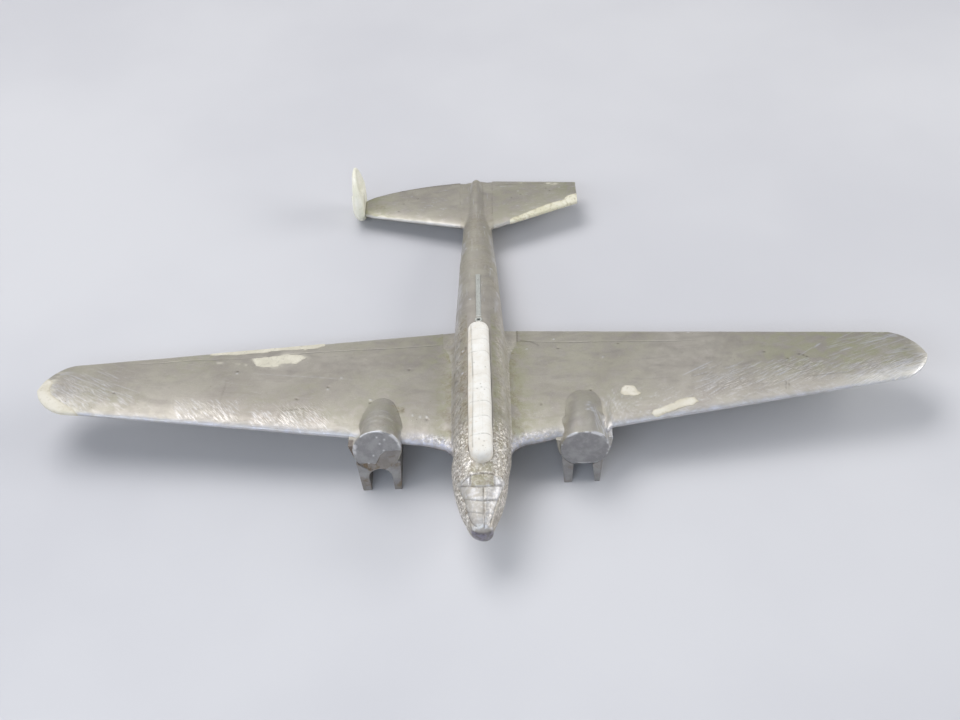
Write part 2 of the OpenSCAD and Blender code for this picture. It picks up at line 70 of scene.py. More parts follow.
# Mesh fineness, mm
WING_STEP = 0.21
FILLER_STEP = 0.21
TAIL_STEP = 0.16
BODY_VOXEL = 0.14
NACELLE_VOXEL = 0.095
PLATE_VOXEL = 0.07
SOCKET_VOXEL, STRIP_VOXEL = 0.035, 0.06
FILLET_ROUNDS = 110

# ---------------------------------------------------------------- datum
# The mast bore's mouth and axis tie the aeroplane's own axes to the frame.
MAST_Y, MAST_Z = 26.1, 5.4
bore = {mount["name"]: mount for mount in frame["record"]["mounts"]}["mast_bore"]
TILT = math.atan2(bore["axis"][1], bore["axis"][2])
COS_TILT, SIN_TILT = math.cos(TILT), math.sin(TILT)
ORIGIN_Y = bore["pos_m"][1] * 1000 - (MAST_Y * COS_TILT + MAST_Z * SIN_TILT)
ORIGIN_Z = bore["pos_m"][2] * 1000 - (-MAST_Y * SIN_TILT + MAST_Z * COS_TILT)

TAIL_Z = 3.0                    # height of the tailplane's middle
TAIL_ROLL = math.radians(-2.8)  # the tail's twist about the fuselage


def stand(points):
    """From the aeroplane's axes to the frame's."""
    x, y, z = np.asarray(points, float).T
    return np.stack([x, y * COS_TILT + z * SIN_TILT + ORIGIN_Y,
                     -y * SIN_TILT + z * COS_TILT + ORIGIN_Z], -1)


def unstand(points):
    """From the frame's axes to the aeroplane's."""
    x, y, z = np.asarray(points, float).T
    y, z = y - ORIGIN_Y, z - ORIGIN_Z
    return np.stack([x, y * COS_TILT - z * SIN_TILT, y * SIN_TILT + z * COS_TILT], -1)


def rolled(points):
    """Turns tail points by the tail's twist."""
    points = np.array(points, float)
    x, z = points[..., 0].copy(), points[..., 2] - TAIL_Z
    points[..., 0] = x * math.cos(TAIL_ROLL) + z * math.sin(TAIL_ROLL)
    points[..., 2] = -x * math.sin(TAIL_ROLL) + z * math.cos(TAIL_ROLL) + TAIL_Z
    return points


# ---------------------------------------------------------------- small maths
def hashed(cells, seed):
    """A repeatable number from 0 to 1 for each whole-number cell."""
    mixed = cells @ np.array([374761393, 668265263, 1440662683]) + seed * 1274126177
    mixed = mixed & 0xFFFFFFFF
    mixed = ((mixed ^ (mixed >> 13)) * 1103515245) & 0xFFFFFFFF
    mixed = ((mixed ^ (mixed >> 16)) * 668265263) & 0xFFFFFFFF
    return ((mixed ^ (mixed >> 15)) & 0xFFFFFF) / float(0xFFFFFF)


def value_noise(points, frequency, seed=0):
    """Smooth noise from -1 to 1, frequency in cells per mm (a number or one per axis)."""
    places = np.asarray(points, float) * np.asarray(frequency, float) + 97.3
    cells = np.floor(places)
    blend = places - cells
    blend = blend * blend * (3 - 2 * blend)
    cells = cells.astype(np.int64)
    total = 0
    for corner in product((0, 1), repeat=3):
        share = np.where(corner, blend, 1 - blend).prod(axis=1)
        total = total + share * hashed(cells + np.array(corner), seed)
    return total * 2 - 1


def fbm(points, frequency, seed=0, octaves=3):
    """Octaves of noise, each twice as fine and half as strong as the last."""
    total, norm = 0, 0
    frequency = np.asarray(frequency, float)
    for k in range(octaves):
        strength = 0.5 ** k
        total = total + strength * value_noise(points, frequency * 2 ** k, seed + 31 * k)
        norm += strength
    return total / norm


def wave(points):
    """The castings' shared waviness, so that neighbouring skins stay level."""
    return 0.045 * fbm(points, 0.13, 5, 2) + 0.014 * fbm(points, 0.7, 9)


def smooth(start, end, value):
    """Eases from 0 at start to 1 at end."""
    share = np.clip((value - start) / (end - start), 0, 1)
    return share * share * (3 - 2 * share)


def window(value, start, end, start2, end2):
    """Two eased steps multiplied."""
    return smooth(start, end, value) * smooth(start2, end2, value)


def bell(distance, width):
    return np.exp(-(distance / width) ** 2)


def signed_power(value, power):
    return np.sign(value) * np.abs(value) ** power


def curve(table):
    """Monotone cubic through the table's points."""
    xs, ys = np.array(table, float).T
    gap = np.diff(xs)
    rate = np.diff(ys) / gap
    slope = np.zeros(len(xs))
    slope[0], slope[-1] = rate[0], rate[-1]
    for i in range(1, len(xs) - 1):
        if rate[i - 1] * rate[i] > 0:
            before, after = 2 * gap[i] + gap[i - 1], gap[i] + 2 * gap[i - 1]
            slope[i] = (before + after) / (before / rate[i - 1] + after / rate[i])

    def value_at(x):
        x = np.clip(np.asarray(x, float), xs[0], xs[-1])
        k = np.clip(np.searchsorted(xs, x, "right") - 1, 0, len(xs) - 2)
        u = (x - xs[k]) / gap[k]
        return ((2 * u ** 3 - 3 * u ** 2 + 1) * ys[k]
                + (u ** 3 - 2 * u ** 2 + u) * gap[k] * slope[k]
                + (-2 * u ** 3 + 3 * u ** 2) * ys[k + 1]
                + (u ** 3 - u ** 2) * gap[k] * slope[k + 1])
    return value_at


def segment_distance(x, y, start, end):
    """Distance from a segment, and the share of the way along it."""
    run_x, run_y = end[0] - start[0], end[1] - start[1]
    along = ((x - start[0]) * run_x + (y - start[1]) * run_y) / (run_x ** 2 + run_y ** 2 + 1e-12)
    along = np.clip(along, 0, 1)
    return np.hypot(x - start[0] - along * run_x, y - start[1] - along * run_y), along


def line_distance(x, y, line):
    nearest = np.full(x.shape, 1e9)
    for start, end in zip(line[:-1], line[1:]):
        nearest = np.minimum(nearest, segment_distance(x, y, start, end)[0])
    return nearest


def closed(outline):
    return outline + outline[:1]


def strokes(x, y, marks):
    """Strongest stroke at each point; a mark is (x0, y0, x1, y1, width, strength)."""
    order = np.argsort(x)
    xs, ys = x[order], y[order]
    found = np.zeros(len(x))
    for x0, y0, x1, y1, width, strength in marks:
        reach = 3 * width
        first, last = np.searchsorted(xs, [min(x0, x1) - reach, max(x0, x1) + reach])
        column = ys[first:last]
        near = (column > min(y0, y1) - reach) & (column < max(y0, y1) + reach)
        near = first + np.nonzero(near)[0]
        distance, along = segment_distance(xs[near], ys[near], (x0, y0), (x1, y1))
        taper = 0.35 + 0.65 * np.sin(np.pi * np.clip(along, 0.02, 0.98))
        found[near] = np.maximum(found[near], strength * bell(distance, width) * taper)
    result = np.zeros(len(x))
    result[order] = found
    return result


def scatter(rng, count, xs, ys, run_x, run_y, width, strength, x_sign=1, run_y_sign=1):
    """Random marks for strokes(); all but count, width and the signs are (least, most)."""
    places = zip(x_sign * rng.uniform(*xs, count), rng.uniform(*ys, count))
    return [(x, y, x + x_sign * rng.uniform(*run_x), y + run_y_sign * rng.uniform(*run_y),
             width, rng.uniform(*strength)) for x, y in places]


# ---------------------------------------------------------------- mesh helpers
def coords(ob):
    points = np.empty(len(ob.data.vertices) * 3, np.float32)
    ob.data.vertices.foreach_get("co", points)
    return points.reshape(-1, 3).astype(float)


def vertex_normals(ob):
    ob.data.update()
    facing = np.empty(len(ob.data.vertices) * 3, np.float32)
    ob.data.vertex_normals.foreach_get("vector", facing)
    return facing.reshape(-1, 3).astype(float)


def put(ob, points):
    ob.data.vertices.foreach_set("co", np.asarray(points, np.float32).ravel())
    ob.data.update()


def volume(ob):
    mesh = ob.data
    mesh.calc_loop_triangles()
    corners = np.empty(len(mesh.loop_triangles) * 3, np.int32)
    mesh.loop_triangles.foreach_get("vertices", corners)
    first, second, third = coords(ob)[corners.reshape(-1, 3)].transpose(1, 0, 2)
    return float(np.einsum("ij,ij->i", first, np.cross(second, third)).sum() / 6)


def face_outwards(ob):
    if volume(ob) < 0:
        ob.data.flip_normals()


def loft(name, rings):
    """Closed skin over rings (rings x points x 3), capped at both ends."""
    count, around = rings.shape[:2]
    ring, k = np.meshgrid(np.arange(count - 1), np.arange(around), indexing="ij")
    here, beside = ring * around + k, ring * around + (k + 1) % around
    quads = np.stack([here, beside, beside + around, here + around], -1).reshape(-1, 4)
    caps = [np.arange(around)[::-1], np.arange((count - 1) * around, count * around)]
    corners = np.concatenate([quads.ravel()] + caps).astype(np.int32)
    sizes = [4] * len(quads) + [around] * 2
    starts = np.concatenate([[0], np.cumsum(sizes)[:-1]]).astype(np.int32)
    mesh = bpy.data.meshes.new(name)
    mesh.vertices.add(count * around)
    mesh.vertices.foreach_set("co", rings.astype(np.float32).ravel())
    mesh.loops.add(len(corners))
    mesh.loops.foreach_set("vertex_index", corners)
    mesh.polygons.add(len(sizes))
    mesh.polygons.foreach_set("loop_start", starts)
    mesh.update(calc_edges=True)
    mesh.validate()
    ob = bpy.data.objects.new(name, mesh)
    scene.collection.objects.link(ob)
    face_outwards(ob)
    return ob


def applied(ob):
    """Bakes the object's modifiers into its mesh."""
    graph = bpy.context.evaluated_depsgraph_get()
    graph.update()
    mesh = bpy.data.meshes.new_from_object(ob.evaluated_get(graph))
    ob.modifiers.clear()
    old = ob.data
    ob.data = mesh
    bpy.data.meshes.remove(old)
    return ob


def boolean(ob, other, operation):
    """Combines ob with other, which is used up."""
    modifier = ob.modifiers.new("b", "BOOLEAN")
    modifier.object, modifier.operation, modifier.solver = other, operation, "MANIFOLD"
    applied(ob)
    bpy.data.objects.remove(other)
    return ob


def join(obs):
    base = obs[0]
    points, faces, offset = [], [], 0
    for ob in obs:
        points.append(coords(ob))
        faces += [[v + offset for v in face.vertices] for face in ob.data.polygons]
        offset += len(ob.data.vertices)
    mesh = bpy.data.meshes.new(base.name)
    mesh.from_pydata(np.concatenate(points).tolist(), [], faces)
    base.data = mesh
    for ob in obs[1:]:
        bpy.data.objects.remove(ob)
    return base


def remesh(ob, voxel, rounds):
    modifier = ob.modifiers.new("r", "REMESH")
    modifier.mode, modifier.voxel_size = "VOXEL", voxel
    modifier = ob.modifiers.new("s", "SMOOTH")
    modifier.factor, modifier.iterations = 0.5, rounds
    return applied(ob)


def prism(name, outline, bottom, top, step=0.25, rough=0.0, seed=1):
    """Upright prism over a plan outline; rough moves its edge like a torn one."""
    corners = [np.array(corner, float) for corner in outline]
    edge = []
    for start, end in zip(corners, corners[1:] + corners[:1]):
        count = max(1, int(np.linalg.norm(end - start) / step))
        edge += [start + (end - start) * i / count for i in range(count)]
    edge = np.array(edge)
    flat = np.concatenate([edge, np.zeros((len(edge), 1))], 1)
    edge = edge + rough * np.stack([fbm(flat, 1.3, seed, 2), fbm(flat, 1.3, seed + 7, 2)], 1)
    return loft(name, np.stack([np.concatenate([edge, np.full((len(edge), 1), z)], 1)
                                for z in (bottom, top)]))


def cylinder(name, start, end, radius, sides=48):
    start, end = Vector(start), Vector(end)
    turn = (end - start).to_track_quat("Z", "Y")
    angles = [2 * math.pi * i / sides for i in range(sides)]
    rings = [[list(centre + turn @ Vector((radius * math.cos(a), radius * math.sin(a), 0)))
              for a in angles] for centre in (start, end)]
    return loft(name, np.array(rings))


def block(name, low, high, origin=(0, 0, 0), tilt=0.0):
    """Box, tilted in degrees about x and then moved to origin."""
    (x0, y0, z0), (x1, y1, z1) = low, high
    ob = loft(name, np.array([[(x0, y0, z), (x1, y0, z), (x1, y1, z), (x0, y1, z)]
                              for z in (z0, z1)], float))
    turn = Matrix.Rotation(math.radians(tilt), 4, "X")
    ob.data.transform(Matrix.Translation(Vector(origin)) @ turn)
    return ob


# Colour attributes and the mask in each of their channels; the masks hold wear, painted highlight
# and painted shade
WEAR = {
    "wear_a": ("bright", "grime", "tarnish", "line"),
    "wear_b": ("sawn", "polish", "cream", "fine"),
    "wear_c": ("pebble", "cool", "dull", "hatch"),
}


class Skin:
    """A surface's points and normals, the height to raise it by and its masks of wear, painted
    highlight and painted shade.

    cloud() and grain() are noise at its points: cells per mm, seed and octaves.
    """

    def __init__(self, points, facing):
        self.points, self.facing = points, facing
        self.x, self.y, self.z = points.T
        self.rise = np.zeros(len(points))
        for masks in WEAR.values():
            for mask in masks:
                setattr(self, mask, np.zeros(len(points)))

    def cloud(self, frequency, seed, octaves=3):
        return fbm(self.points, frequency, seed, octaves)

    def grain(self, frequency, seed):
        return value_noise(self.points, frequency, seed)

    def dots(self, places, radius, rise, mask, strength, where, plane=None):
        """Round bumps or pits that also show in a mask, in plan or another plane."""
        across, along = plane or (self.x, self.y)
        level = getattr(self, mask)
        for u, v in places:
            dot = bell(np.hypot(across - u, along - v), radius) * where
            self.rise += rise * dot
            level += strength * dot

    def scratch(self, marks, where, depth):
        """Bright strokes cut to a depth."""
        cut = strokes(self.x, self.y, marks) * where
        self.bright += cut
        self.rise -= depth * cut

    def raised(self):
        return self.points + self.facing * self.rise[:, None]

    def paint(self, ob):
        for name, masks in WEAR.items():
            values = np.stack([getattr(self, mask) for mask in masks], 1)
            layer = ob.data.attributes.new(name, "FLOAT_COLOR", "POINT")
            layer.data.foreach_set("color", np.clip(values, 0, 1).astype(np.float32).ravel())


def skin_of(ob):
    return Skin(coords(ob), vertex_normals(ob))


def finish(ob, body, nodes, slot, material, sharp=50):
    """Stands the piece in the frame, in metres, kept inside the frame's box."""
    low, high = np.array(cad_lo) * 1000, np.array(cad_hi) * 1000
    put(ob, np.clip(stand(coords(ob)), low, high) * 0.001)
    ob.data.polygons.foreach_set("use_smooth", np.ones(len(ob.data.polygons), bool))
    ob.data.set_sharp_from_angle(angle=math.radians(sharp))
    ob.data.materials.clear()
    ob.data.materials.append(material)
    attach(ob, body)
    if nodes:
        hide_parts(*nodes)


# ---------------------------------------------------------------- materials
class Graph:
    """A material's nodes, with texture coordinates in millimetres."""

    def __init__(self, name):
        self.material = bpy.data.materials.new(name)
        self.material.use_nodes = True
        self.tree = self.material.node_tree
        self.shader = self.tree.nodes["Principled BSDF"]
        place = self.node("ShaderNodeTexCoord").outputs["Object"]
        self.mm = self.mapped(place, scale=(1000, 1000, 1000))

    def node(self, kind, **settings):
        node = self.tree.nodes.new(kind)
        for key, value in settings.items():
            setattr(node, key, value)
        return node

    def put(self, socket, value):
        if isinstance(value, bpy.types.NodeSocket):
            self.tree.links.new(value, socket)
        elif isinstance(value, (tuple, list)):
            socket.default_value = (*value, 1)
        else:
            socket.default_value = value

    def mapped(self, vector, scale=(1, 1, 1), turn=(0, 0, 0)):
        node = self.node("ShaderNodeMapping")
        node.inputs["Scale"].default_value = scale
        node.inputs["Rotation"].default_value = turn
        self.tree.links.new(vector, node.inputs["Vector"])
        return node.outputs[0]

    def aligned(self, angle, along, across):
        """Coordinates stretched along a line in plan, for strokes."""
        turned = self.mapped(self.mm, turn=(0, 0, -math.radians(angle)))
        return self.mapped(turned, scale=(along, across, across * 0.3))

    def noise(self, scale, detail=3, rough=0.55, vector=None, distortion=0.0):
        node = self.node("ShaderNodeTexNoise")
        self.put(node.inputs["Vector"], vector or self.mm)
        self.put(node.inputs["Scale"], scale)
        self.put(node.inputs["Detail"], detail)
        self.put(node.inputs["Roughness"], rough)
        self.put(node.inputs["Distortion"], distortion)
        return node.outputs["Fac"]

    def cells(self, scale):
        """Distance from the nearest of scattered points."""
        node = self.node("ShaderNodeTexVoronoi")
        self.put(node.inputs["Vector"], self.mm)
        self.put(node.inputs["Scale"], scale)
        return node.outputs["Distance"]

    def math(self, operation, first, second, clamp=False):
        node = self.node("ShaderNodeMath", operation=operation, use_clamp=clamp)
        self.put(node.inputs[0], first)
        self.put(node.inputs[1], second)
        return node.outputs[0]

    def times(self, first, second, clamp=False):
        return self.math("MULTIPLY", first, second, clamp)

    def times1(self, first, second):
        """Product held between 0 and 1."""
        return self.times(first, second, clamp=True)

    def band(self, value, low, high, at_low=0.0, at_high=1.0):
        node = self.node("ShaderNodeMapRange", clamp=True, interpolation_type="SMOOTHSTEP")
        self.put(node.inputs["Value"], value)
        for key, limit in (("From Min", low), ("From Max", high),
                           ("To Min", at_low), ("To Max", at_high)):
            node.inputs[key].default_value = limit
        return node.outputs[0]

    def mix(self, factor, first, second):
        node = self.node("ShaderNodeMix", data_type="RGBA")
        for index, value in ((0, factor), (6, first), (7, second)):
            self.put(node.inputs[index], value)
        return node.outputs[2]

    def mix_value(self, factor, first, second):
        node = self.node("ShaderNodeMix", data_type="FLOAT")
        for index, value in ((0, factor), (2, first), (3, second)):
            self.put(node.inputs[index], value)
        return node.outputs[0]

    def layers(self, colour, layers):
        """Lays (mask, sRGB tint) layers over a colour, one after another."""
        for mask, tint in layers:
            colour = self.mix(mask, colour, srgb(*tint))
        return colour

    def blends(self, value, layers):
        """Blends a value towards each (mask, value) in turn."""
        for mask, goal in layers:
            value = self.mix_value(mask, value, goal)
        return value

    def masks(self, name):
        node = self.node("ShaderNodeAttribute", attribute_name=name)
        split = self.node("ShaderNodeSeparateColor")
        self.tree.links.new(node.outputs["Color"], split.inputs[0])
        return split.outputs[0], split.outputs[1], split.outputs[2], node.outputs["Alpha"]

    def bumps(self, layers):
        """Chains bumps of (height, strength, distance in metres)."""
        normal = None
        for height, strength, distance in layers:
            node = self.node("ShaderNodeBump")
            self.put(node.inputs["Height"], height)
            self.put(node.inputs["Strength"], strength)
            self.put(node.inputs["Distance"], distance)
            if normal is not None:
                self.put(node.inputs["Normal"], normal)
            normal = node.outputs[0]
        return normal

    def out(self, colour, metal, rough, normal, specular=0.5):
        for name, value in (("Base Color", colour), ("Metallic", metal), ("Roughness", rough),
                            ("Specular IOR Level", specular), ("Normal", normal)):
            self.put(self.shader.inputs[name], value)
        return self.material


def srgb(*channels):
    """Linear colour from sRGB channels of 0 to 255."""
    return tuple(((c / 255 + 0.055) / 1.055) ** 2.4 if c > 10 else c / 3294.6 for c in channels)


def cast_metal(name):
    """Aged white metal; the masks say where each tint, finish, painted highlight and painted
    shade shows.
    """
    mat = Graph(name)
    band, times, times1, noise = mat.band, mat.times, mat.times1, mat.noise
    bright, grime, tarnish, line = mat.masks("wear_a")
    sawn, polish, cream, fine = mat.masks("wear_b")
    pebble, cool, dull, hatch = mat.masks("wear_c")

    # File strokes run a different way on each wing
    star_file = noise(1.0, rough=0.65, vector=mat.aligned(angle=-51.0, along=0.8, across=6.0))
    port_file = noise(1.0, rough=0.65, vector=mat.aligned(angle=29.0, along=0.7, across=6.0))
    split = mat.node("ShaderNodeSeparateXYZ")
    mat.tree.links.new(mat.mm, split.inputs[0])
    on_port = mat.math("GREATER_THAN", split.outputs[0], 0.0)

    def filed(low, high):
        strokes_in_band = mat.mix_value(on_port, band(star_file, low, high),
                                        band(port_file, low, high))
        return times1(hatch, strokes_in_band)

    # Noise from broad to fine
    wisps = noise(0.5, detail=4, rough=0.6, distortion=1.0,
                  vector=mat.mapped(mat.mm, scale=(0.28, 1.0, 1.0), turn=(0, 0, 0.12)))
    big = noise(0.09, detail=4, rough=0.6, distortion=0.8)
    mid = noise(0.45, detail=5, rough=0.62, distortion=0.5)
    small = noise(2.6, detail=4, rough=0.65)
    grit = noise(2.1, detail=4, rough=0.72, distortion=0.3)
    grain = noise(9.0, rough=0.7)

    glint_area = band(noise(0.7, rough=0.6, distortion=0.5), 0.5, 0.62)
    glint = times(band(mat.cells(2.1), 0.13, 0.05), glint_area)
    # Dirt, together with the painted shade held in the same mask.
    dirt = times1(grime, band(noise(1.5, detail=5, rough=0.75), 0.42, 0.6))
    pits = times1(band(grit, 0.48, 0.38), pebble)
    gleam = times1(band(grit, 0.53, 0.6), pebble)
    cool_area = times1(cool, band(noise(1.9, detail=4, rough=0.7), 0.4, 0.62, 0.25, 1.0))
    file_light, file_dark = filed(0.5, 0.6), filed(0.47, 0.38)

    skin = mat.mix(band(big, 0.36, 0.64), srgb(169, 163, 155), srgb(181, 176, 166))
    skin = mat.layers(skin, (
        (times(band(wisps, 0.5, 0.72), 0.45), (154, 148, 142)),
        (times(band(mid, 0.52, 0.7), 0.35), (186, 180, 176)),
        (times(tarnish, band(mid, 0.34, 0.62)), (163, 162, 139)),
        (times(band(small, 0.6, 0.74), 0.3), (134, 129, 120)),
        (times(glint, 0.75), (228, 227, 226)),
        (times(band(mat.cells(1.15), 0.1, 0.04), band(mid, 0.5, 0.62)), (96, 88, 76)),
        (times(dirt, 0.8), (112, 98, 76)),
        (times1(grime, 0.38), (138, 126, 102)),
        (times1(bright, band(grain, 0.25, 0.6, 0.55, 1.0)), (214, 215, 220)),
        (times(cream, 0.75), (212, 208, 192)),
        # Granular skin: bright grains and dark pits
        (times1(pebble, 0.4), (196, 188, 176)),
        (times(pits, 0.7), (118, 106, 88)),
        (times(gleam, 0.95), (252, 246, 238)),
        # Cool painted highlight
        (times1(cool_area, 0.8), (190, 194, 214)),
        (times(file_dark, 0.3), (132, 126, 118)),
        (times(file_light, 0.85), (238, 233, 228)),
        # Painted shade
        (times1(dull, 0.8), (104, 90, 78)),
        (times1(line, 0.85), (74, 68, 56)),
    ))
    face = mat.mix(band(noise(0.6, detail=4, rough=0.6), 0.35, 0.65),
                   srgb(143, 141, 141), srgb(162, 160, 159))
    face_dirt = band(noise(0.35, detail=4, rough=0.7, distortion=1.2), 0.5, 0.62)
    face = mat.layers(face, (
        (times(band(mat.cells(3.0), 0.14, 0.06), 0.5), (196, 196, 198)),
        (times(face_dirt, grime), (122, 102, 78)),
        (times1(grime, 0.45), (128, 114, 96)),
        # Painted shade
        (times1(dull, 0.8), (104, 90, 78)),
        (times(bright, 0.85), (228, 226, 226)),
    ))
    # The polished chin is painted dark and bluish as shade and reflection.
    polished = mat.mix(band(noise(1.1, rough=0.6), 0.42, 0.6),
                       srgb(98, 96, 104), srgb(132, 130, 150))
    colour = mat.mix(polish, mat.mix(sawn, skin, face), polished)

    metal = mat.mix_value(times1(grime, 0.8), 0.66, 0.2)
    metal = mat.blends(metal, ((cream, 0.1), (sawn, 0.35), (pebble, 0.42), (polish, 0.9)))
    rough = mat.mix_value(band(mid, 0.35, 0.65), 0.46, 0.6)
    rough = mat.blends(rough, ((times1(bright, 0.8), 0.34), (file_light, 0.3), (dirt, 0.85),
                               (sawn, 0.62), (polish, 0.22)))
    scratches = [noise(1.0, rough=0.7, vector=mat.mapped(mat.mm, scale=scale, turn=(0, 0, turn)))
                 for scale, turn in (((9.0, 1.1, 6.0), 0.5), ((1.2, 10.0, 6.0), -0.35))]
    normal = mat.bumps((
        (small, 0.3, 0.00007),
        (grit, times1(pebble, 0.8), 0.00016),
        (grain, mat.mix_value(polish, 0.45, 0.02), 0.00004),
        (scratches[0], times(fine, 0.55), 0.00008),
        (scratches[1], times(fine, 0.35), 0.00006),
    ))
    return mat.out(colour, metal, rough, normal)


def putty(name, base, other, stain, dirt=0.5, patchy=0.0):
    """Matt filler or resin: two mottled sRGB tints, stained where dirty, and darkened where
    painted shade is set.
    """
    mat = Graph(name)
    band, times = mat.band, mat.times
    grime, line = mat.masks("wear_a")[1::2]
    big = mat.noise(0.35, detail=4, rough=0.6)
    mid = mat.noise(1.6, detail=4, rough=0.6)
    small = mat.noise(7.0, detail=4, rough=0.7)
    colour = mat.mix(band(big, 0.38, 0.62), srgb(*base), srgb(*other))
    colour = mat.layers(colour, (
        (times(band(mid, 0.56 - patchy, 0.72 - patchy), dirt), stain),
        (times(grime, band(mid, 0.3, 0.6, 0.4, 1.0)), stain),
        (times(band(mat.cells(1.7), 0.09, 0.03), 0.7), (120, 108, 86)),
        (times(line, 0.75), (128, 122, 108)),
    ))
    rough = mat.mix_value(band(mid, 0.3, 0.7), 0.5, 0.68)
    normal = mat.bumps(((small, 0.3, 0.00004), (mid, 0.25, 0.00008)))
    return mat.out(colour, 0.0, rough, normal, specular=0.35)


def steel(name, tint, rough, lay_scale):
    """Bright metal with drawn lines; lay_scale is small along the lines."""
    mat = Graph(name)
    tint = srgb(*tint)
    lay = mat.noise(1.0, rough=0.6, vector=mat.mapped(mat.mm, scale=lay_scale))
    colour = mat.mix(mat.band(lay, 0.3, 0.7), [c * 0.8 for c in tint], tint)
    stains = mat.band(mat.noise(2.2, detail=4, rough=0.7), 0.56, 0.72)
    colour = mat.mix(mat.times(stains, 0.6), colour, srgb(110, 100, 84))
    rough = mat.mix_value(mat.band(lay, 0.3, 0.7), rough, rough + 0.15)
    return mat.out(colour, 0.85, rough, mat.bumps([(lay, 0.3, 0.00003)]))


METAL = cast_metal("cast_white_metal")
NACELLE_METAL = cast_metal("nacelle_metal")
FILLER = putty("filler_cream", (217, 212, 199), (206, 200, 183), (176, 168, 146))
SMEAR = putty("filler_smear", (214, 209, 193), (202, 197, 180), (182, 177, 164),
              dirt=0.7, patchy=0.05)
TAIL_FILLER = putty("filler_tail", (222, 218, 200), (208, 203, 178), (176, 168, 140),
                    dirt=0.7, patchy=0.06)
FIN_RESIN = putty("fin_resin", (242, 240, 226), (233, 231, 212), (200, 200, 172))
CANOPY_RESIN = putty("canopy_resin", (234, 232, 226), (227, 223, 214), (206, 190, 164),
                     dirt=0.3)
PIN_STEEL = steel("pin_steel", (190, 192, 196), rough=0.3, lay_scale=(0.4, 12, 12))
STRIP_METAL = steel("strip_metal", (206, 208, 202), rough=0.5, lay_scale=(12, 0.4, 12))

# ---------------------------------------------------------------- wing
HALF_SPAN = 76.0
TIP = 5.5                       # length of the rounded tip
TIP_START = HALF_SPAN - TIP
WING_ROOT = 5.0
CASTING_ROOT = 4.97             # first station of the wing casting

# The wing's own chord shares where rings have points, bunched at the leading edge
NOSE_CHORD = 0.09
UPPER_CHORD = np.concatenate([NOSE_CHORD * np.linspace(0, 1, 26) ** 1.7,
                              np.linspace(NOSE_CHORD, 0.7, 60)[1:],
                              np.linspace(0.7, 1, 62)[1:]])
LOWER_CHORD = np.concatenate([NOSE_CHORD * np.linspace(0, 1, 18) ** 1.7,
                              np.linspace(NOSE_CHORD, 1, 50)[1:]])

# Extra chord ahead of the leading edge: distances outboard, and the extra there
GLOVE = {
    PORT: ([4.7, 5.05, 5.5, 6.1, 7.0, 8.1, 10.2, 12.8, 20.4, 20.6, 21.6],
           [2.5, 2.1, 1.6, 1.2, 0.9, 0.85, 0.7, 0.45, 0.9, 1.25, 0]),
    STAR: ([4.7, 5.1, 5.6, 6.1, 7.9, 10, 13.5, 20.6, 21.6],
           [2.6, 2.1, 1.6, 1.2, 0.7, 0.4, 0.4, 0.4, 0]),
}


def foil(chord, thickest=0.3, end=0.16):
    """Section height, 1 at the thickest, at shares of the chord."""
    chord = np.asarray(chord, float)
    ahead = (1 - np.abs(1 - np.minimum(chord, thickest) / thickest) ** 2.3) ** (1 / 2.3)
    fall = (np.maximum(chord - thickest, 0) / (1 - thickest)) ** 1.55
    return np.where(chord < thickest, ahead, end + (1 - end) * (1 - fall))


def tip_share(x):
    return np.maximum(0, (x - TIP_START) / TIP)


def taper_share(x):
    return (np.minimum(x, TIP_START) - WING_ROOT) / (TIP_START - WING_ROOT)


def straight_chord(x):
    """Chord before the tip is rounded."""
    return 30.5 - 17.6 * taper_share(x)


def tip_plan(x):
    return np.maximum(0.06, np.maximum(0, 1 - tip_share(x) ** 1.6) ** 0.625)


def wing_chord(x):
    return straight_chord(x) * tip_plan(x)


def wing_front(x):
    """The leading edge's y."""
    straight = -0.4 + 0.1277 * (np.minimum(x, TIP_START) - WING_ROOT)
    return straight + 0.46 * straight_chord(x) * (1 - tip_plan(x))


def wing_half_height(x):
    thinning = np.maximum(0.22, np.sqrt(np.maximum(0, 1 - 0.95 * tip_share(x) ** 2)))
    return thinning * (3.1 - 1.6 * taper_share(x)) / 2


def wing_z(x):
    dihedral = math.radians(3)
    return (x - WING_ROOT) * math.tan(dihedral)


def root_x(y):
    """The joint between wing and fuselage."""
    return np.interp(y, [18.5, 22.5, 25, 34], [4.95, 5.5, 6.5, 6.7])


def glove(x, side):
    return np.interp(x, *GLOVE[side])


def chord_share(x, y, side):
    extra = glove(x, side)
    return (y - wing_front(x) + extra) / (wing_chord(x) + extra)


def root_fillet(x, chord):
    return 2.2 * np.exp(-(np.maximum(x, 3.0) - 3.2) / 1.0) * window(chord, 0.03, 0.14, 0.97, 0.78)


def wing_rings(side, stations, grow=0.0, inner=False):
    """Sections at the stations; inner ones lie in the fuselage and end at the joint."""
    station = np.asarray(stations, float)[:, None]
    upper = np.arange(len(UPPER_CHORD) + len(LOWER_CHORD) - 1)[None, :] < len(UPPER_CHORD)
    chord = np.concatenate([UPPER_CHORD, LOWER_CHORD[:0:-1]])[None, :]
    x = station + 0 * chord
    for _ in range(3):
        y = wing_front(x) - glove(x, side) + chord * (wing_chord(x) + glove(x, side))
        if inner:
            x = station / 4.95 * root_x(y)
        else:
            x = station + (root_x(y) - 4.95) * np.maximum(0, 1 - (station - CASTING_ROOT) / 12)
    extra = glove(x, side)
    if inner:
        grow = -0.12 * smooth(4.98, 5.3, station)
    y = wing_front(x) - extra - grow + chord * (wing_chord(x) + extra + 2 * grow)
    height = wing_half_height(x)
    over = 1.2 * height * foil(chord) + root_fillet(x, chord) + np.where(chord > 0, grow, 0)
    z = wing_z(x) + np.where(upper, over, -0.8 * height * foil(chord) - grow)
    return np.stack([side * x, y, z], -1)


def span_stations(step):
    tip = np.sin(np.linspace(0, np.pi / 2, 44))
    return np.concatenate([np.arange(CASTING_ROOT, TIP_START, step), TIP_START + TIP * tip])


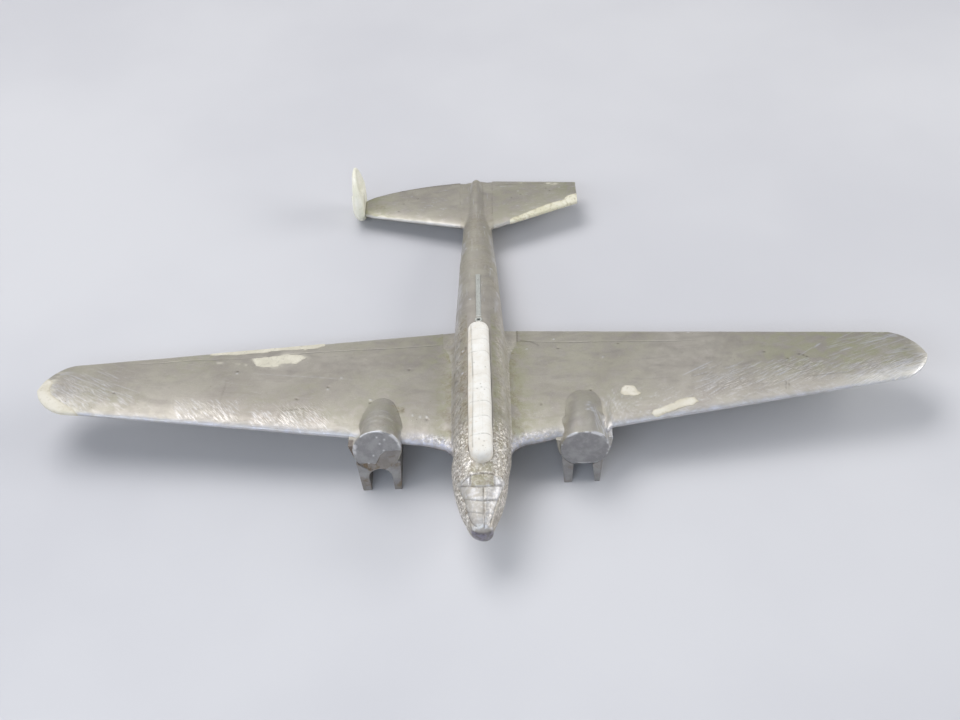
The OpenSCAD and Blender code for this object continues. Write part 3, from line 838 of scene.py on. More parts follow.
# Groove ahead of the flaps (x, y)
FLAP = {
    PORT: [(6.6, 26.36), (14.24, 25.0), (21.28, 24.29), (28.27, 23.45), (35.2, 22.69),
           (38.7, 22.39)],
    STAR: [(-66.6, 20.67), (-56.25, 21.36), (-49.35, 22.17), (-42.3, 22.31),
           (-35.4, 23.46), (-28.4, 24.27), (-14.26, 25.25), (-7.15, 26.07)],
}
# Zones of random strokes: distance outboard, chord share, direction, length,
# count, width, strength
STROKE_ZONES = {
    PORT: [
        ((37, 60), (0.15, 0.5), (0.86, 0.5), (0.8, 3.6), 120, 0.075, 1.0),
        ((60, 75), (0.02, 0.35), (0.9, 0.42), (1.0, 3.2), 90, 0.08, 1.0),
        ((22, 60), (0.0, 0.1), (0.8, -0.6), (0.4, 1.2), 120, 0.06, 0.7),
        ((24, 40), (0.12, 0.3), (0.86, 0.45), (0.8, 2.0), 35, 0.07, 0.6),
        ((60, 74), (0.1, 0.95), (0.92, 0.38), (1.5, 5.0), 90, 0.07, 0.75),
        ((20.2, 24.5), (-0.02, 0.28), (0.22, -0.97), (1.0, 2.6), 45, 0.07, 0.6),
        ((24, 70), (0.0, 0.16), (0.9, 0.3), (0.5, 1.6), 110, 0.07, 0.5),
        ((8, 60), (0.1, 0.95), (0.95, 0.25), (2, 6), 40, 0.06, 0.2),
    ],
    STAR: [
        ((41, 51.5), (0.05, 0.25), (0.626, -0.78), (0.9, 2.6), 45, 0.06, 0.8),
        ((25.5, 38.5), (0.015, 0.16), (0.626, -0.78), (0.8, 2.0), 60, 0.055, 0.8),
        ((63, 73), (0.12, 0.75), (0.8, -0.6), (1.2, 4.0), 70, 0.07, 0.95),
        ((66, 74.5), (0.05, 0.5), (0.55, -0.83), (0.6, 1.8), 60, 0.07, 0.9),
        ((58.5, 64), (0.14, 0.34), (0.74, -0.67), (0.8, 2.2), 18, 0.08, 0.8),
        ((20, 70), (0.02, 0.2), (0.7, -0.7), (0.6, 1.6), 60, 0.07, 0.4),
        ((60, 74), (0.2, 0.9), (0.85, -0.52), (1.5, 4.5), 40, 0.07, 0.45),
        ((8, 70), (0.1, 0.95), (0.97, -0.2), (2, 7), 40, 0.06, 0.22),
    ],
}
# Single bright scratches and dark cuts (x0, y0, x1, y1, width, strength)
SCRATCHES = {
    PORT: [(34.4, 12.1, 39.8, 15.54, 0.1, 1.0), (27.3, 12.1, 31.0, 12.2, 0.08, 0.6),
           (57.6, 17.5, 58.9, 18.7, 0.16, 0.9), (65.4, 17.5, 70.0, 18.8, 0.14, 0.9),
           (61.6, 15.8, 63.9, 16.7, 0.16, 0.9), (54.5, 15.2, 57.4, 17.6, 0.08, 0.6)],
    STAR: [(-39.5, 17.6, -21.5, 15.3, 0.1, 0.35), (-64, 15.4, -58, 12.2, 0.07, 0.6),
           (-66, 14.2, -60, 11.4, 0.07, 0.5)],
}
DARK_CUTS = {
    PORT: [(54.5, 9.5, 62.9, 9.9, 0.1, 0.55), (50.9, 6.8, 51.3, 9.1, 0.09, 0.6),
           (51.4, 6.8, 51.8, 9.0, 0.08, 0.5), (71.8, 15.0, 73.2, 15.2, 0.12, 0.7)],
    STAR: [(-33.3, 7.1, -29.6, 7.7, 0.1, 0.6), (-33.6, 8.4, -33.2, 7.2, 0.08, 0.4),
           (-44.1, 9.5, -43.7, 15.5, 0.2, 0.18)],
}
# Places of small dents and bumps (x, y)
DENTS = {
    PORT: [(13.8, 23.1), (24.4, 23.3), (18.6, 9.8), (52.6, 14.8), (54.8, 15.9),
           (55.4, 15.5), (55.9, 15.0), (10.1, 7.0), (49.0, 17.3)],
    STAR: [(-18.7, 8.8), (-42.2, 18.4), (-26.1, 13.3), (-9.1, 4.4), (-62.5, 12.4),
           (-12.4, 18.2), (-31.2, 10.1)],
}
BUMPS = {
    PORT: [(8.3, 23.5), (21.4, 19.2), (13.2, 26.2), (37.0, 25.4)],
    STAR: [(-18.7, 9.6), (-42.2, 17.6), (-26.1, 12.6), (-10.2, 5.1), (-9.1, 5.0),
           (-11.5, 5.5), (-24.0, 16.0)],
}
# Outlines of the fillers (x, y)
STAR_TIP = [(-80, 0), (-67.0, 0), (-67.4, 7.1), (-69.1, 8.6), (-71.3, 10.3), (-73.2, 12.2),
            (-73.8, 14.0), (-73.7, 15.8), (-74.8, 17.2), (-80, 18)]
STAR_EDGE = [(-47.8, 23.7), (-45.0, 23.6), (-42.4, 23.75), (-38.5, 24.3), (-35.5, 24.85),
             (-32.0, 25.2), (-29.6, 25.3), (-27.6, 26.4), (-27.7, 31), (-47.8, 31)]
STAR_PATCH = [(-40.1, 22.4), (-39.3, 19.9), (-37.2, 19.4), (-35.3, 19.7), (-34.9, 20.5),
              (-32.3, 20.6), (-30.8, 22.5), (-31.6, 23.3), (-33.7, 23.6), (-37.0, 22.9)]
PORT_SPOT = [(23.5, 8.6), (23.8, 9.8), (24.4, 10.45), (25.75, 10.3), (26.1, 9.4), (26.4, 8.5),
             (26.95, 8.05), (26.3, 7.6), (25.6, 7.5), (24.9, 7.8), (24.1, 7.8)]
PORT_PATCH = [(28.1, 3.3), (28.5, 4.1), (29.8, 4.35), (30.7, 4.75), (31.9, 5.3), (33.0, 5.85),
              (34.2, 6.2), (35.5, 6.35), (36.2, 5.3), (35.0, 4.6), (33.8, 4.4), (32.7, 4.05),
              (31.6, 3.7), (30.6, 3.35), (29.5, 3.1), (28.7, 2.95)]


def zone_strokes(rng, side, spans, chords, direction, lengths, count, width, strength):
    direction = np.array(direction, float)
    direction /= np.linalg.norm(direction)
    marks = []
    for _ in range(count):
        span = rng.uniform(*spans)
        x, y = side * span, float(wing_front(span) + rng.uniform(*chords) * wing_chord(span))
        turn = rng.normal(0, 0.10)
        half = rng.uniform(*lengths) / 2
        dx = (direction[0] * math.cos(turn) - direction[1] * math.sin(turn)) * half
        dy = (direction[0] * math.sin(turn) + direction[1] * math.cos(turn)) * half
        marks.append((x - dx, y - dy, x + dx, y + dy,
                      rng.uniform(0.6, 1.25) * width, rng.uniform(0.35, 1.0) * strength))
    return marks


def leading_edge_wear(skin, span, chord):
    """File flats and beads, with a granular knobbly skin inboard, painted highlights on the
    forward-facing edge and painted shade under it inboard.
    """
    cloud, tilt = skin.cloud, skin.facing[:, 2]
    front = smooth(0.085, 0.0, chord) * smooth(-0.75, -0.1, tilt)
    inboard = smooth(17, 6, span)
    knobs = cloud(1.5, 44, 2)
    skin.rise += front * 0.035 * cloud((0.9, 2.2, 2.2), 41)
    skin.rise += smooth(0.09, 0.01, chord) * inboard * 0.1 * knobs
    # The forward-facing edge is painted bright and cool as a highlight.
    skin.bright += front * (0.18 + 0.4 * cloud((0.8, 2.0, 2.0), 42))
    skin.bright += smooth(0.09, 0, chord) * inboard * (0.15 + smooth(0.0, 0.45, knobs))
    skin.bright += 0.35 * smooth(0.03, 0.0, chord) * smooth(-0.8, -0.3, tilt)
    skin.cool += (smooth(0.035, 0.008, chord) * smooth(-0.7, 0.0, tilt)
                  * (0.3 + 0.5 * cloud((0.5, 2.0, 2.0), 45)))
    skin.pebble += (window(chord, 0.075, 0.03, 0.004, 0.012) * inboard
                    * (0.7 + 0.5 * cloud(0.6, 46, 2)))
    skin.cool += 0.75 * smooth(0.08, 0.02, chord) * inboard * smooth(-0.5, 0.1, tilt)
    # The inboard edge and its underside are painted dark as shade.
    skin.dull += 0.35 * smooth(0.02, 0.0, chord) * inboard
    skin.dull += 0.7 * smooth(0.04, 0.0, chord) * inboard * smooth(0.1, -0.4, tilt)
    skin.bright *= 1 - 0.6 * inboard * smooth(0.1, 0.05, chord)


def flap_wear(skin, side, span, top):
    """Broken groove at the flap's front, with the flap a little lower."""
    distance = line_distance(skin.x, skin.y, FLAP[side])
    breaks = 0.55 + 0.45 * skin.grain(0.45, 51)
    if side == PORT:
        fade = smooth(40, 33, span)
    else:
        fade = smooth(68, 55, span) * (0.55 + 0.45 * smooth(45, 26, span))
    groove = bell(distance, 0.11) * top * fade
    skin.rise -= 0.11 * groove * (0.5 + 0.5 * breaks)
    skin.line += groove * 0.75 * breaks
    behind = skin.y - np.interp(skin.x, *np.transpose(FLAP[side]))
    skin.rise -= 0.03 * smooth(0.0, 0.2, behind) * top * fade
    skin.bright += 0.12 * bell(distance - 0.22, 0.12) * top * fade * breaks


def starboard_wing_wear(skin, span, chord, top):
    x, y, cloud = skin.x, skin.y, skin.cloud
    filed = window(span, 40.0, 41.5, 53, 50.5) + window(span, 24.8, 26.5, 39.5, 37.8)
    skin.hatch += (window(chord, 0.3, 0.16, 0.02, 0.05) * filed * top
                   * (0.3 + 0.7 * cloud(0.35, 91, 2)))
    skin.hatch += (0.6 * smooth(62, 70, span) * smooth(0.9, 0.5, chord) * top
                   * (0.4 + 0.8 * cloud(0.5, 92, 2)))
    skin.tarnish += (0.5 * smooth(-0.2, 0.35, cloud(0.07, 61))
                     + 0.3 * smooth(30, 70, span) * smooth(0.5, 0.95, chord))
    # Traces of filler by the tip and the rear edge
    for line, far, near, low, high, noise, strength in (
            ([(-48.2, 21.2), (-44.6, 21.0), (-41.0, 20.3)], 0.55, 0.15, 0.0, 0.5,
             cloud(1.2, 63, 2), 0.7),
            (STAR_TIP[2:9], 1.3, 0.2, -0.1, 0.45, cloud(0.8, 64), 0.6),
            (closed(STAR_PATCH), 1.2, 0.0, -0.1, 0.4, cloud(0.9, 72), 0.5)):
        trace = smooth(far, near, line_distance(x, y, line))
        skin.cream += strength * trace * smooth(low, high, noise)
    skin.cream += 0.55 * smooth(71.0, 74.0, span) * smooth(0.0, 0.4, cloud((0.7, 1.8, 1), 69))
    skin.bright += 0.5 * smooth(69, 73, span) * smooth(0.1, 0.5, cloud((0.6, 1.6, 1), 66))
    hook = [(-14.8, 7.7), (-13.1, 7.1), (-13.1, 6.6), (-13.9, 6.4)]
    skin.grime += 0.8 * bell(line_distance(x, y, hook), 0.28)


def port_wing_wear(skin, span, chord, top):
    x, y, cloud = skin.x, skin.y, skin.cloud
    skin.hatch += (window(span, 34, 40, 62, 54) * window(chord, 0.1, 0.2, 0.55, 0.4) * top
                   * (0.35 + 0.9 * cloud(0.3, 93, 2)))
    skin.hatch += (smooth(58, 68, span) * smooth(0.55, 0.25, chord) * top
                   * (0.6 + 0.6 * cloud(0.5, 94, 2)))
    skin.hatch += (0.5 * smooth(64, 70, span) * smooth(0.45, 0.7, chord) * top
                   * (0.3 + 0.8 * cloud(0.5, 95, 2)))
    skin.tarnish += (0.85 * window(span, 38, 54, 76, 70) * smooth(0.14, 0.4, chord)
                     + 0.4 * smooth(-0.2, 0.35, cloud(0.07, 61)))
    tip_front = smooth(56, 70, span) * smooth(0.26, 0.06, chord)
    skin.cream += tip_front * (0.45 + 0.55 * cloud((0.4, 1.5, 1), 67))
    skin.cream += smooth(73.5, 75.8, span) * 0.45
    skin.bright += tip_front * (0.5 + 0.5 * cloud((0.7, 2.2, 1), 70))
    skin.bright += 0.5 * smooth(66, 73, span) * smooth(0.0, 0.45, cloud((0.5, 1.8, 1), 68))
    skin.line += bell(x - root_x(y), 0.16) * smooth(25.6, 26.4, y) * top
    crack = line_distance(x, y, [(7.2, 26.6), (9.0, 25.9), (10.4, 24.4)])
    skin.line += 0.5 * bell(crack, 0.14) * top


def wing_wear(skin, side):
    """Height changes, wear, and painted highlight and shade of a wing's surface."""
    tilt, span = skin.facing[:, 2], np.abs(skin.x)
    chord = chord_share(span, skin.y, side)
    top = smooth(0.1, 0.35, tilt)
    skin.rise += wave(skin.points)
    leading_edge_wear(skin, span, chord)
    skin.fine += smooth(0.3, 0.05, chord) * top * (0.6 + 0.4 * skin.grain(0.2, 3))
    flap_wear(skin, side, span, top)
    # The trailing edge's lip catches the light
    skin.bright += (0.3 * smooth(0.975, 1.0, chord) * (0.5 + 0.5 * skin.grain(0.5, 77))
                    * smooth(-0.2, 0.4, tilt))
    if side == PORT:
        port_wing_wear(skin, span, chord, top)
    else:
        starboard_wing_wear(skin, span, chord, top)
    rng = np.random.default_rng(11 if side == PORT else 23)
    marks = list(SCRATCHES[side])
    for zone in STROKE_ZONES[side]:
        marks += zone_strokes(rng, side, *zone)
    skin.scratch(marks, top, depth=0.02)
    cuts = strokes(skin.x, skin.y, DARK_CUTS[side]) * top
    skin.line += cuts
    skin.rise -= 0.05 * cuts
    skin.dots(DENTS[side], 0.2, -0.12, "line", 0.9, top)
    skin.dots(BUMPS[side], 0.17, 0.09, "bright", 1, top)
    # Dirt in the root corner
    skin.grime += 0.45 * smooth(8.5, 5.0, span) * smooth(0.0, 0.6, 0.4 + skin.cloud(0.8, 71))
    skin.tarnish += 0.7 * smooth(10, 6, span)
    if side == PORT:
        skin.rise -= 0.02 * smooth(5, 20, span)


def build_wing(side, name):
    ob = loft(name, wing_rings(side, span_stations(WING_STEP)))
    skin = skin_of(ob)
    wing_wear(skin, side)
    skin.tarnish = np.clip(skin.tarnish, 0, 1)
    # The skin stays level with the fuselage at the joint
    skin.rise *= 0.25 + 0.75 * smooth(0.0, 0.8, np.abs(skin.x) - root_x(skin.y))
    points = skin.raised()
    # Rubbed outline at the tip
    points[:, 1] += (smooth(66, 75, np.abs(skin.x)) * 0.12
                     * fbm(skin.points * [1, 0, 0], 0.9, 81))
    put(ob, points)
    skin.paint(ob)
    return ob


def dirty_rim(ob, line, width, strength):
    """Paints a filler with grime along a line."""
    skin = skin_of(ob)
    skin.grime += smooth(width, 0.0, line_distance(skin.x, skin.y, line)) * strength
    skin.paint(ob)


def build_filler(name, side, outline, proud, bottom, seed, rough):
    """The wing's own surface grown a little, cut to the filler's outline."""
    spans = [abs(x) for x, _ in outline]
    stations = span_stations(FILLER_STEP)
    stations = stations[(stations >= max(CASTING_ROOT, min(spans) - 1.0))
                        & (stations <= min(HALF_SPAN, max(spans) + 1.0))]
    ob = loft(name, wing_rings(side, stations, proud))
    skin = skin_of(ob)
    within = smooth(0.0, 0.8, line_distance(skin.x, skin.y, closed(outline)))
    skin.rise += wave(skin.points) - (0.75 * proud - 0.012) * (1 - within)
    skin.rise += 0.03 * skin.cloud(0.8, seed) * within + 0.008 * skin.cloud(3.0, seed + 3, 2)
    put(ob, skin.raised())
    cutter = prism(name + "_cut", outline, bottom, 8, rough=rough, seed=seed)
    boolean(ob, cutter, "INTERSECT")
    dirty_rim(ob, closed(outline), 0.35, 0.6)
    return ob


port_wing = build_wing(PORT, "port_wing_casting")
starboard_wing = build_wing(STAR, "starboard_wing_casting")
tip_filler = build_filler("starboard_tip_filler_piece", STAR, STAR_TIP,
                          proud=0.07, bottom=-5, seed=201, rough=0.14)
edge_filler = build_filler("starboard_edge_filler_strip", STAR, STAR_EDGE,
                           proud=0.05, bottom=-5, seed=202, rough=0.3)
patch_filler = build_filler("starboard_edge_filler_patch", STAR, STAR_PATCH,
                            proud=0.05, bottom=1.3, seed=203, rough=0.32)
spot_filler = build_filler("port_wing_filler_spot", PORT, PORT_SPOT,
                           proud=0.09, bottom=1.6, seed=204, rough=0.16)
port_patch_filler = build_filler("port_wing_filler_patch", PORT, PORT_PATCH,
                                 proud=0.08, bottom=1.6, seed=205, rough=0.2)

# ---------------------------------------------------------------- fuselage
# Fuselage width, top and bottom (y, value)
body_width = curve([
    (-20.8, 1.7), (-20.65, 2.5), (-20.4, 3.1), (-20, 3.65), (-19.2, 4.25), (-17.7, 5.15),
    (-15.5, 6.7), (-12.2, 8.25), (-8.75, 9.05), (-6.4, 9.3), (-4, 9.42), (0, 9.5), (4, 9.5),
    (17, 9.5), (24, 9.1), (32.3, 8.5), (40, 7.75), (48, 7.1), (57, 6.0), (62.7, 5.6),
    (68, 4.8), (73, 4.0), (76.5, 3.2), (77.6, 2.1)])
body_top = curve([
    (-20.8, 0.1), (-20.65, 0.5), (-20.4, 0.95), (-20.1, 1.3), (-19.6, 1.7), (-18, 2.5),
    (-15, 3.75), (-11.75, 4.85), (-8, 5.6), (0, 6), (24, 6), (33, 5.6), (48, 4.9),
    (60, 4.6), (68, 4.5), (73, 4.35), (76.5, 4.1), (77.3, 3.8), (77.6, 3.3)])
body_bottom = curve([
    (-20.8, -1.7), (-20.5, -2.1), (-19.5, -2.5), (-18, -3), (-15, -3.6), (-8, -4.4),
    (0, -4.8), (15, -4.8), (30, -4.2), (45, -3.0), (60, -1.7), (70, -0.75), (74, -0.62),
    (77.6, -0.55)])

# Tailplane; the port one is snapped short
TAIL_ROOT = 3
TAIL_TIP = {PORT: 20.2, STAR: 22.5}
TAIL_END_STATION = {PORT: 20.0, STAR: 22.2}     # where the close end stations take over
TAIL_CHORD = np.concatenate([0.12 * np.linspace(0, 1, 16) ** 1.7, np.linspace(0.12, 1, 60)[1:]])

# Canopy insert: a long outline with round ends, and its seat in the fuselage
CANOPY_X = -0.1
CANOPY_END = 1.95               # radius of the ends
SEAT_RADIUS = CANOPY_END + 0.05
CANOPY_Y0, CANOPY_Y1 = -10.5 + CANOPY_END, 24.6 - CANOPY_END
CANOPY_SIDE = CANOPY_Y1 - CANOPY_Y0
CANOPY_ARC = math.pi * CANOPY_END
PEG_Y = (-3, 17)

# Small bumps on the fuselage (x, y)
BODY_BUMPS = [(-1.5, 33.2), (2.4, 44.0), (-2.2, 51.5), (1.4, 58.6), (-3.0, 12.0), (-3.4, 3.5),
              (-3.1, -2.8), (-2.9, 18.1)]


def body_loft():
    y = np.concatenate([-20.8 + 3.8 * np.linspace(0, 1, 24) ** 1.5,
                        np.linspace(-17, 77.6, 240)[1:]])
    angle = np.linspace(0, 2 * np.pi, 96, endpoint=False)[None, :]
    y = y[:, None] + 0 * angle
    square = 2 / (2.5 - 0.8 * smooth(50, 68, y) - 0.4 * smooth(-17, -20.5, y))
    top, bottom = body_top(y), body_bottom(y)
    x = body_width(y) / 2 * signed_power(np.cos(angle), square)
    z = (top + bottom) / 2 + (top - bottom) / 2 * signed_power(np.sin(angle), square)
    return loft("fuselage_casting", np.stack([x, y, z], -1))


def tail_edges(x, side):
    """The tailplane's leading and trailing edge y."""
    out = x - TAIL_ROOT
    if side == PORT:
        return 59.7 + 0.415 * out, 77.1 - 0.17 * out
    share = out / (TAIL_TIP[STAR] - TAIL_ROOT)
    corner = (np.maximum(0, share - 0.88) / 0.12) ** 2
    return (60.9 + 0.36 * out + 0.7 * corner,
            77.4 - 3.4 * np.maximum(0, share) ** 2.5 - 0.5 * corner)


def tail_rings(side, stations, grow=0.0):
    x = np.asarray(stations, float)[:, None]
    chord = np.concatenate([TAIL_CHORD, TAIL_CHORD[:0:-1]])[None, :]
    up = np.concatenate([np.ones(len(TAIL_CHORD)), -np.ones(len(TAIL_CHORD) - 1)])[None, :]
    front, rear = tail_edges(x, side)
    front, rear = front - grow, rear + grow
    height = (1.75 - 0.5 * (x - TAIL_ROOT) / (TAIL_TIP[STAR] - TAIL_ROOT)) / 2
    end = np.clip((TAIL_TIP[side] - x) / 0.5, 0, 1)
    height = height * (0.55 + 0.45 * np.sqrt(1 - (1 - end) ** 2))
    y = front + chord * (rear - front)
    z = TAIL_Z + up * (height * foil(chord, 0.28, 0.24) + np.where(chord > 0, grow, 0))
    return rolled(np.stack([side * x + 0 * chord, y, z], -1))


def fillet_body(ob):
    """Smooths the corners where the wings and tailplanes meet the fuselage."""
    x, y, z = coords(ob).T
    out = np.abs(x)
    soft = (window(out, 2.9, 3.7, 5.02, 4.8) * window(z, 0.2, 0.9, 4.6, 3.2)
            * window(y, -1.5, 0.5, 33, 30))
    tail = window(out, 1.4, 2.0, 3.4, 3.0) * smooth(60.5, 62.5, y) * (z > 2.9)
    levels = np.round(np.maximum(soft, tail) * 8).astype(int)
    group = ob.vertex_groups.new(name="soft")
    for k in range(1, 9):
        group.add(np.nonzero(levels == k)[0].tolist(), k / 8, "REPLACE")
    modifier = ob.modifiers.new("fillet", "SMOOTH")
    modifier.factor, modifier.iterations, modifier.vertex_group = 0.5, FILLET_ROUNDS, "soft"
    applied(ob)
    ob.vertex_groups.clear()


def glazing_lines(x, y, z, above, up):
    """Grooves that frame the nose glazing, from 0 to 1."""
    grooves = np.zeros(len(x))
    hoops = ((-14.6, 0.11, 1.0), (-16.8, 0.135, 1.0), (-18.75, 0.15, 0.55))  # y, bow, strength
    for start, bow, strength in hoops:
        hoop = strength * bell(y - (start + bow * x * x), 0.11) * above
        grooves = np.maximum(grooves, hoop)
    rear = bell(y - (-12.35 - 0.05 * x * x), 0.12) * (np.abs(x) < 2.0) * up
    grooves = np.maximum(grooves, rear)
    for rail in (-1.95, 1.9):
        between = (y > -14.6 + 0.11 * x * x) * (y < -12.35)
        grooves = np.maximum(grooves, bell(x - rail, 0.11) * between * up * (z > 2.5))
    centre = 0.85 * bell(x - 0.15, 0.1) * (y < -14.6) * (y > -20.5) * up
    grooves = np.maximum(grooves, centre)
    back = np.interp(z, [2.45, 3.0, 3.6, 4.2], [-13.75, -13.1, -12.75, -12.55])
    flank = (z > 2.4) * (z < 4.3) * (np.abs(x) > 1.9) * (np.abs(x) < 3.6)
    return np.maximum(grooves, bell(y - back, 0.12) * flank)


def nose_wear(skin, up):
    x, y, z, cloud = skin.x, skin.y, skin.z, skin.cloud
    out, tilt = np.abs(x), skin.facing[:, 2]
    # Pebbly casting skin on the shoulders, fainter on the glazing; the shoulders are also painted
    # brighter as a highlight
    shoulder = window(y, 2, -6, -21, -19.5)
    pebbles = cloud((1.5, 1.0, 1.5), 15, 2) + 0.4 * skin.grain(3.2, 16)
    off_glass = smooth(-14.8, -12.3, y) + smooth(1.8, 2.7, out) * smooth(2.6, 2.0, z)
    skin.rise += shoulder * np.clip(off_glass, 0.25, 1) * 0.07 * pebbles
    skin.pebble += shoulder * np.clip(off_glass, 0.45, 1) * smooth(-0.75, -0.2, tilt)
    skin.bright += shoulder * np.clip(off_glass, 0.3, 1) * smooth(-0.05, 0.5, pebbles) * 0.45
    skin.rise += 0.02 * cloud(2.6, 17, 2) * smooth(30, 0, y)
    # Framed glazing
    sill = np.interp(y, [-20.4, -18.1, -16.0, -13.65], [0.8, 1.5, 2.25, 2.5])
    above = smooth(-0.1, 0.05, z - sill) * up
    sill_line = 0.8 * bell(z - sill, 0.1) * (y < -13.6) * (y > -20.3) * (out > 1.0)
    grooves = np.maximum(glazing_lines(x, y, z, above, up), sill_line)
    skin.rise -= 0.13 * grooves
    skin.line += 0.85 * grooves * (0.75 + 0.25 * skin.grain(1.1, 20))
    pane = window(y, -20.6, -20.0, -12.3, -12.7) * above
    skin.fine += pane * 0.8
    skin.bright += pane * (0.1 + 0.5 * smooth(0.0, 0.5, cloud((0.9, 2.6, 1.2), 18)))
    skin.bright += 0.3 * pane * smooth(1.7, 2.1, x)
    top_pane = pane * smooth(-14.5, -14.0, y) * smooth(1.9, 1.6, out)
    skin.tarnish += top_pane
    skin.grime += 0.45 * top_pane
    skin.bright -= 0.5 * top_pane
    skin.pebble *= 1 - 0.75 * pane
    skin.pebble += 0.3 * pane * (1 - top_pane) * smooth(-0.3, 0.6, x)
    skin.bright += 0.35 * pane * smooth(0.2, 0.8, x) * (1 - top_pane)
    beside = smooth(2.6, 3.2, out) * window(y, -6, 0, 34, 26) * up
    skin.pebble += beside * np.where(x < 0, 0.35, 0.5) * (0.4 + 0.8 * cloud(0.5, 35, 2))
    # Tarnished deck between glazing and canopy
    deck = window(y, -12.2, -11.8, -9.5, -10.8) * smooth(2.4, 1.4, out) * up
    skin.tarnish += deck
    skin.grime += 0.4 * deck
    skin.pebble *= 1 - 0.65 * deck
    skin.bright *= 1 - 0.7 * deck
    skin.rise += 0.018 * pane * cloud((3.0, 1.2, 1.5), 19, 2)
    # Bright lip over a polished chin, which is painted dark and bluish as shade and reflection,
    # with a darker painted spot of shade
    jag = 0.12 * cloud(1.6, 29, 2)
    lip = bell(y + 20.3 + jag, 0.22) * smooth(0.0, 0.4, z) * (out < 1.8)
    skin.bright += 1.3 * lip * smooth(-0.2, 0.15, cloud(1.9, 31, 2) + 0.1)
    skin.cream += 0.5 * lip * smooth(0.3, -0.6, x)
    chin = smooth(-19.9, -20.3, y) * smooth(0.25, -0.05, z + jag)
    skin.polish += chin * (0.7 + 0.3 * cloud(1.0, 30, 2))
    spot = np.hypot((x + 0.15) / 0.42, (z + 0.45 + jag) / 0.36)
    skin.dull += smooth(1.1, 0.5, spot) * chin


def body_side_wear(skin, up):
    """Grime beside the canopy, brown to starboard and olive to port, the roots, and painted light
    on the flanks and roots.
    """
    x, y, z, cloud = skin.x, skin.y, skin.z, skin.cloud
    out, tilt = np.abs(x), skin.facing[:, 2]
    beside = window(out, 1.9, 2.3, 6.5, 4.0) * up * window(y, -11, -6, 32, 24)
    skin.grime += (beside * smooth(4.6, 3.4, out) * np.where(x < 0, 1.0, 0.45)
                   * (0.5 + 0.75 * cloud(0.7, 21)))
    skin.rise += beside * 0.03 * cloud(1.8, 25, 2)
    close = smooth(4.2, 3.0, out)
    skin.tarnish += (beside * np.where(x > 0, 1.0, 0.5) * (0.3 + 0.7 * close)
                     + smooth(4.0, 6.5, out) * smooth(-2, 6, y) * 0.6)
    skin.bright += 0.3 * beside * (1 - close) * smooth(-0.1, 0.5, cloud(0.9, 32, 2) + 0.2)
    specks = smooth(0.45, 0.65, skin.grain(1.9, 22)) * beside * np.where(x < 0, 0.8, 0.3)
    skin.line += specks * 0.55
    skin.rise += 0.05 * specks
    skin.grime += 0.25 * smooth(25, 40, y) * smooth(0.0, 0.6, cloud(0.3, 24) + 0.2) * up
    skin.tarnish += 0.35 * smooth(28, 50, y)
    for side, strength in ((PORT, 0.35), (STAR, 0.08)):
        joint = bell(side * x - root_x(y), 0.14) * smooth(0.2, 0.5, tilt) * (y > -1)
        skin.line += joint * strength * (0.5 + 0.5 * skin.grain(0.6, 26)) * smooth(16, 26, y)
    corner = (smooth(1.0, 0.2, np.abs(out - body_width(y) / 2)) * window(y, -2, 2, 30, 24)
              * smooth(3.4, 2.0, z) * up)
    skin.grime += 0.35 * corner
    # Flanks that face sideways are painted brighter as a highlight.
    skin.bright += (0.45 * smooth(0.55, 0.85, np.abs(skin.facing[:, 0])) * smooth(24, 30, y)
                    * smooth(0.2, 0.6, cloud((0.5, 0.35, 0.5), 27) + 0.25))
    skin.bright += 0.35 * smooth(0.6, 0.0, np.abs(y - 77.3)) * up
    skin.dots(BODY_BUMPS, 0.2, 0.08, "bright", 0.8, up)
    # Port flank painted pale as light, and the roots ahead of the wings painted with cool
    # highlights
    flank = smooth(3.0, 4.3, out) * window(y, -3, 2, 34, 27) * up
    skin.cream += 0.34 * flank * np.where(x > 0, 1.0, 0.1) * (0.7 + 0.3 * cloud(0.5, 34))
    root = (smooth(3.2, 4.0, out) * window(y, 1.5, -0.5, -5.5, -3.0)
            * smooth(-0.6, 0.2, tilt) * smooth(2.6, 1.2, z))
    skin.pebble += 0.5 * root
    skin.cool += 0.5 * root


def body_skin(ob):
    skin = skin_of(ob)
    up = smooth(-0.15, 0.25, skin.facing[:, 2])
    skin.rise += wave(skin.points)
    nose_wear(skin, up)
    rng = np.random.default_rng(5)
    marks = scatter(rng, 110, xs=(-3.6, 3.6), ys=(-20, -2), run_x=(-0.5, 0.5),
                    run_y=(0.5, 1.8), width=0.07, strength=(0.3, 0.9))
    marks += scatter(rng, 60, xs=(-3.4, 3.4), ys=(27, 74), run_x=(-0.2, 0.2),
                     run_y=(0.8, 3), width=0.06, strength=(0.2, 0.7))
    skin.scratch(marks, 0.8 * up, depth=0.025)
    body_side_wear(skin, up)
    return skin


def canopy_narrow(y):
    return 1 - 0.06 * smooth(6, 24, y)


def canopy_lean(x, y):
    """Shift to port of the outline's front starboard corner."""
    return 0.3 * smooth(-6.2, -10.3, y) * smooth(0.3, -1.6, x)


def canopy_outline(radius, travel):
    """The long round-ended outline at distances travelled round it."""
    legs = [travel < CANOPY_SIDE, travel < CANOPY_SIDE + CANOPY_ARC,
            travel < 2 * CANOPY_SIDE + CANOPY_ARC, travel >= 0]
    rear = (travel - CANOPY_SIDE) / CANOPY_END
    front = math.pi + (travel - 2 * CANOPY_SIDE - CANOPY_ARC) / CANOPY_END
    across = np.full(len(travel), radius)
    x = np.select(legs, [across, radius * np.cos(rear), -across, radius * np.cos(front)])
    y = np.select(legs, [CANOPY_Y0 + travel, CANOPY_Y1 + radius * np.sin(rear),
                         CANOPY_Y1 - (travel - CANOPY_SIDE - CANOPY_ARC),
                         CANOPY_Y0 + radius * np.sin(front)])
    return x, y


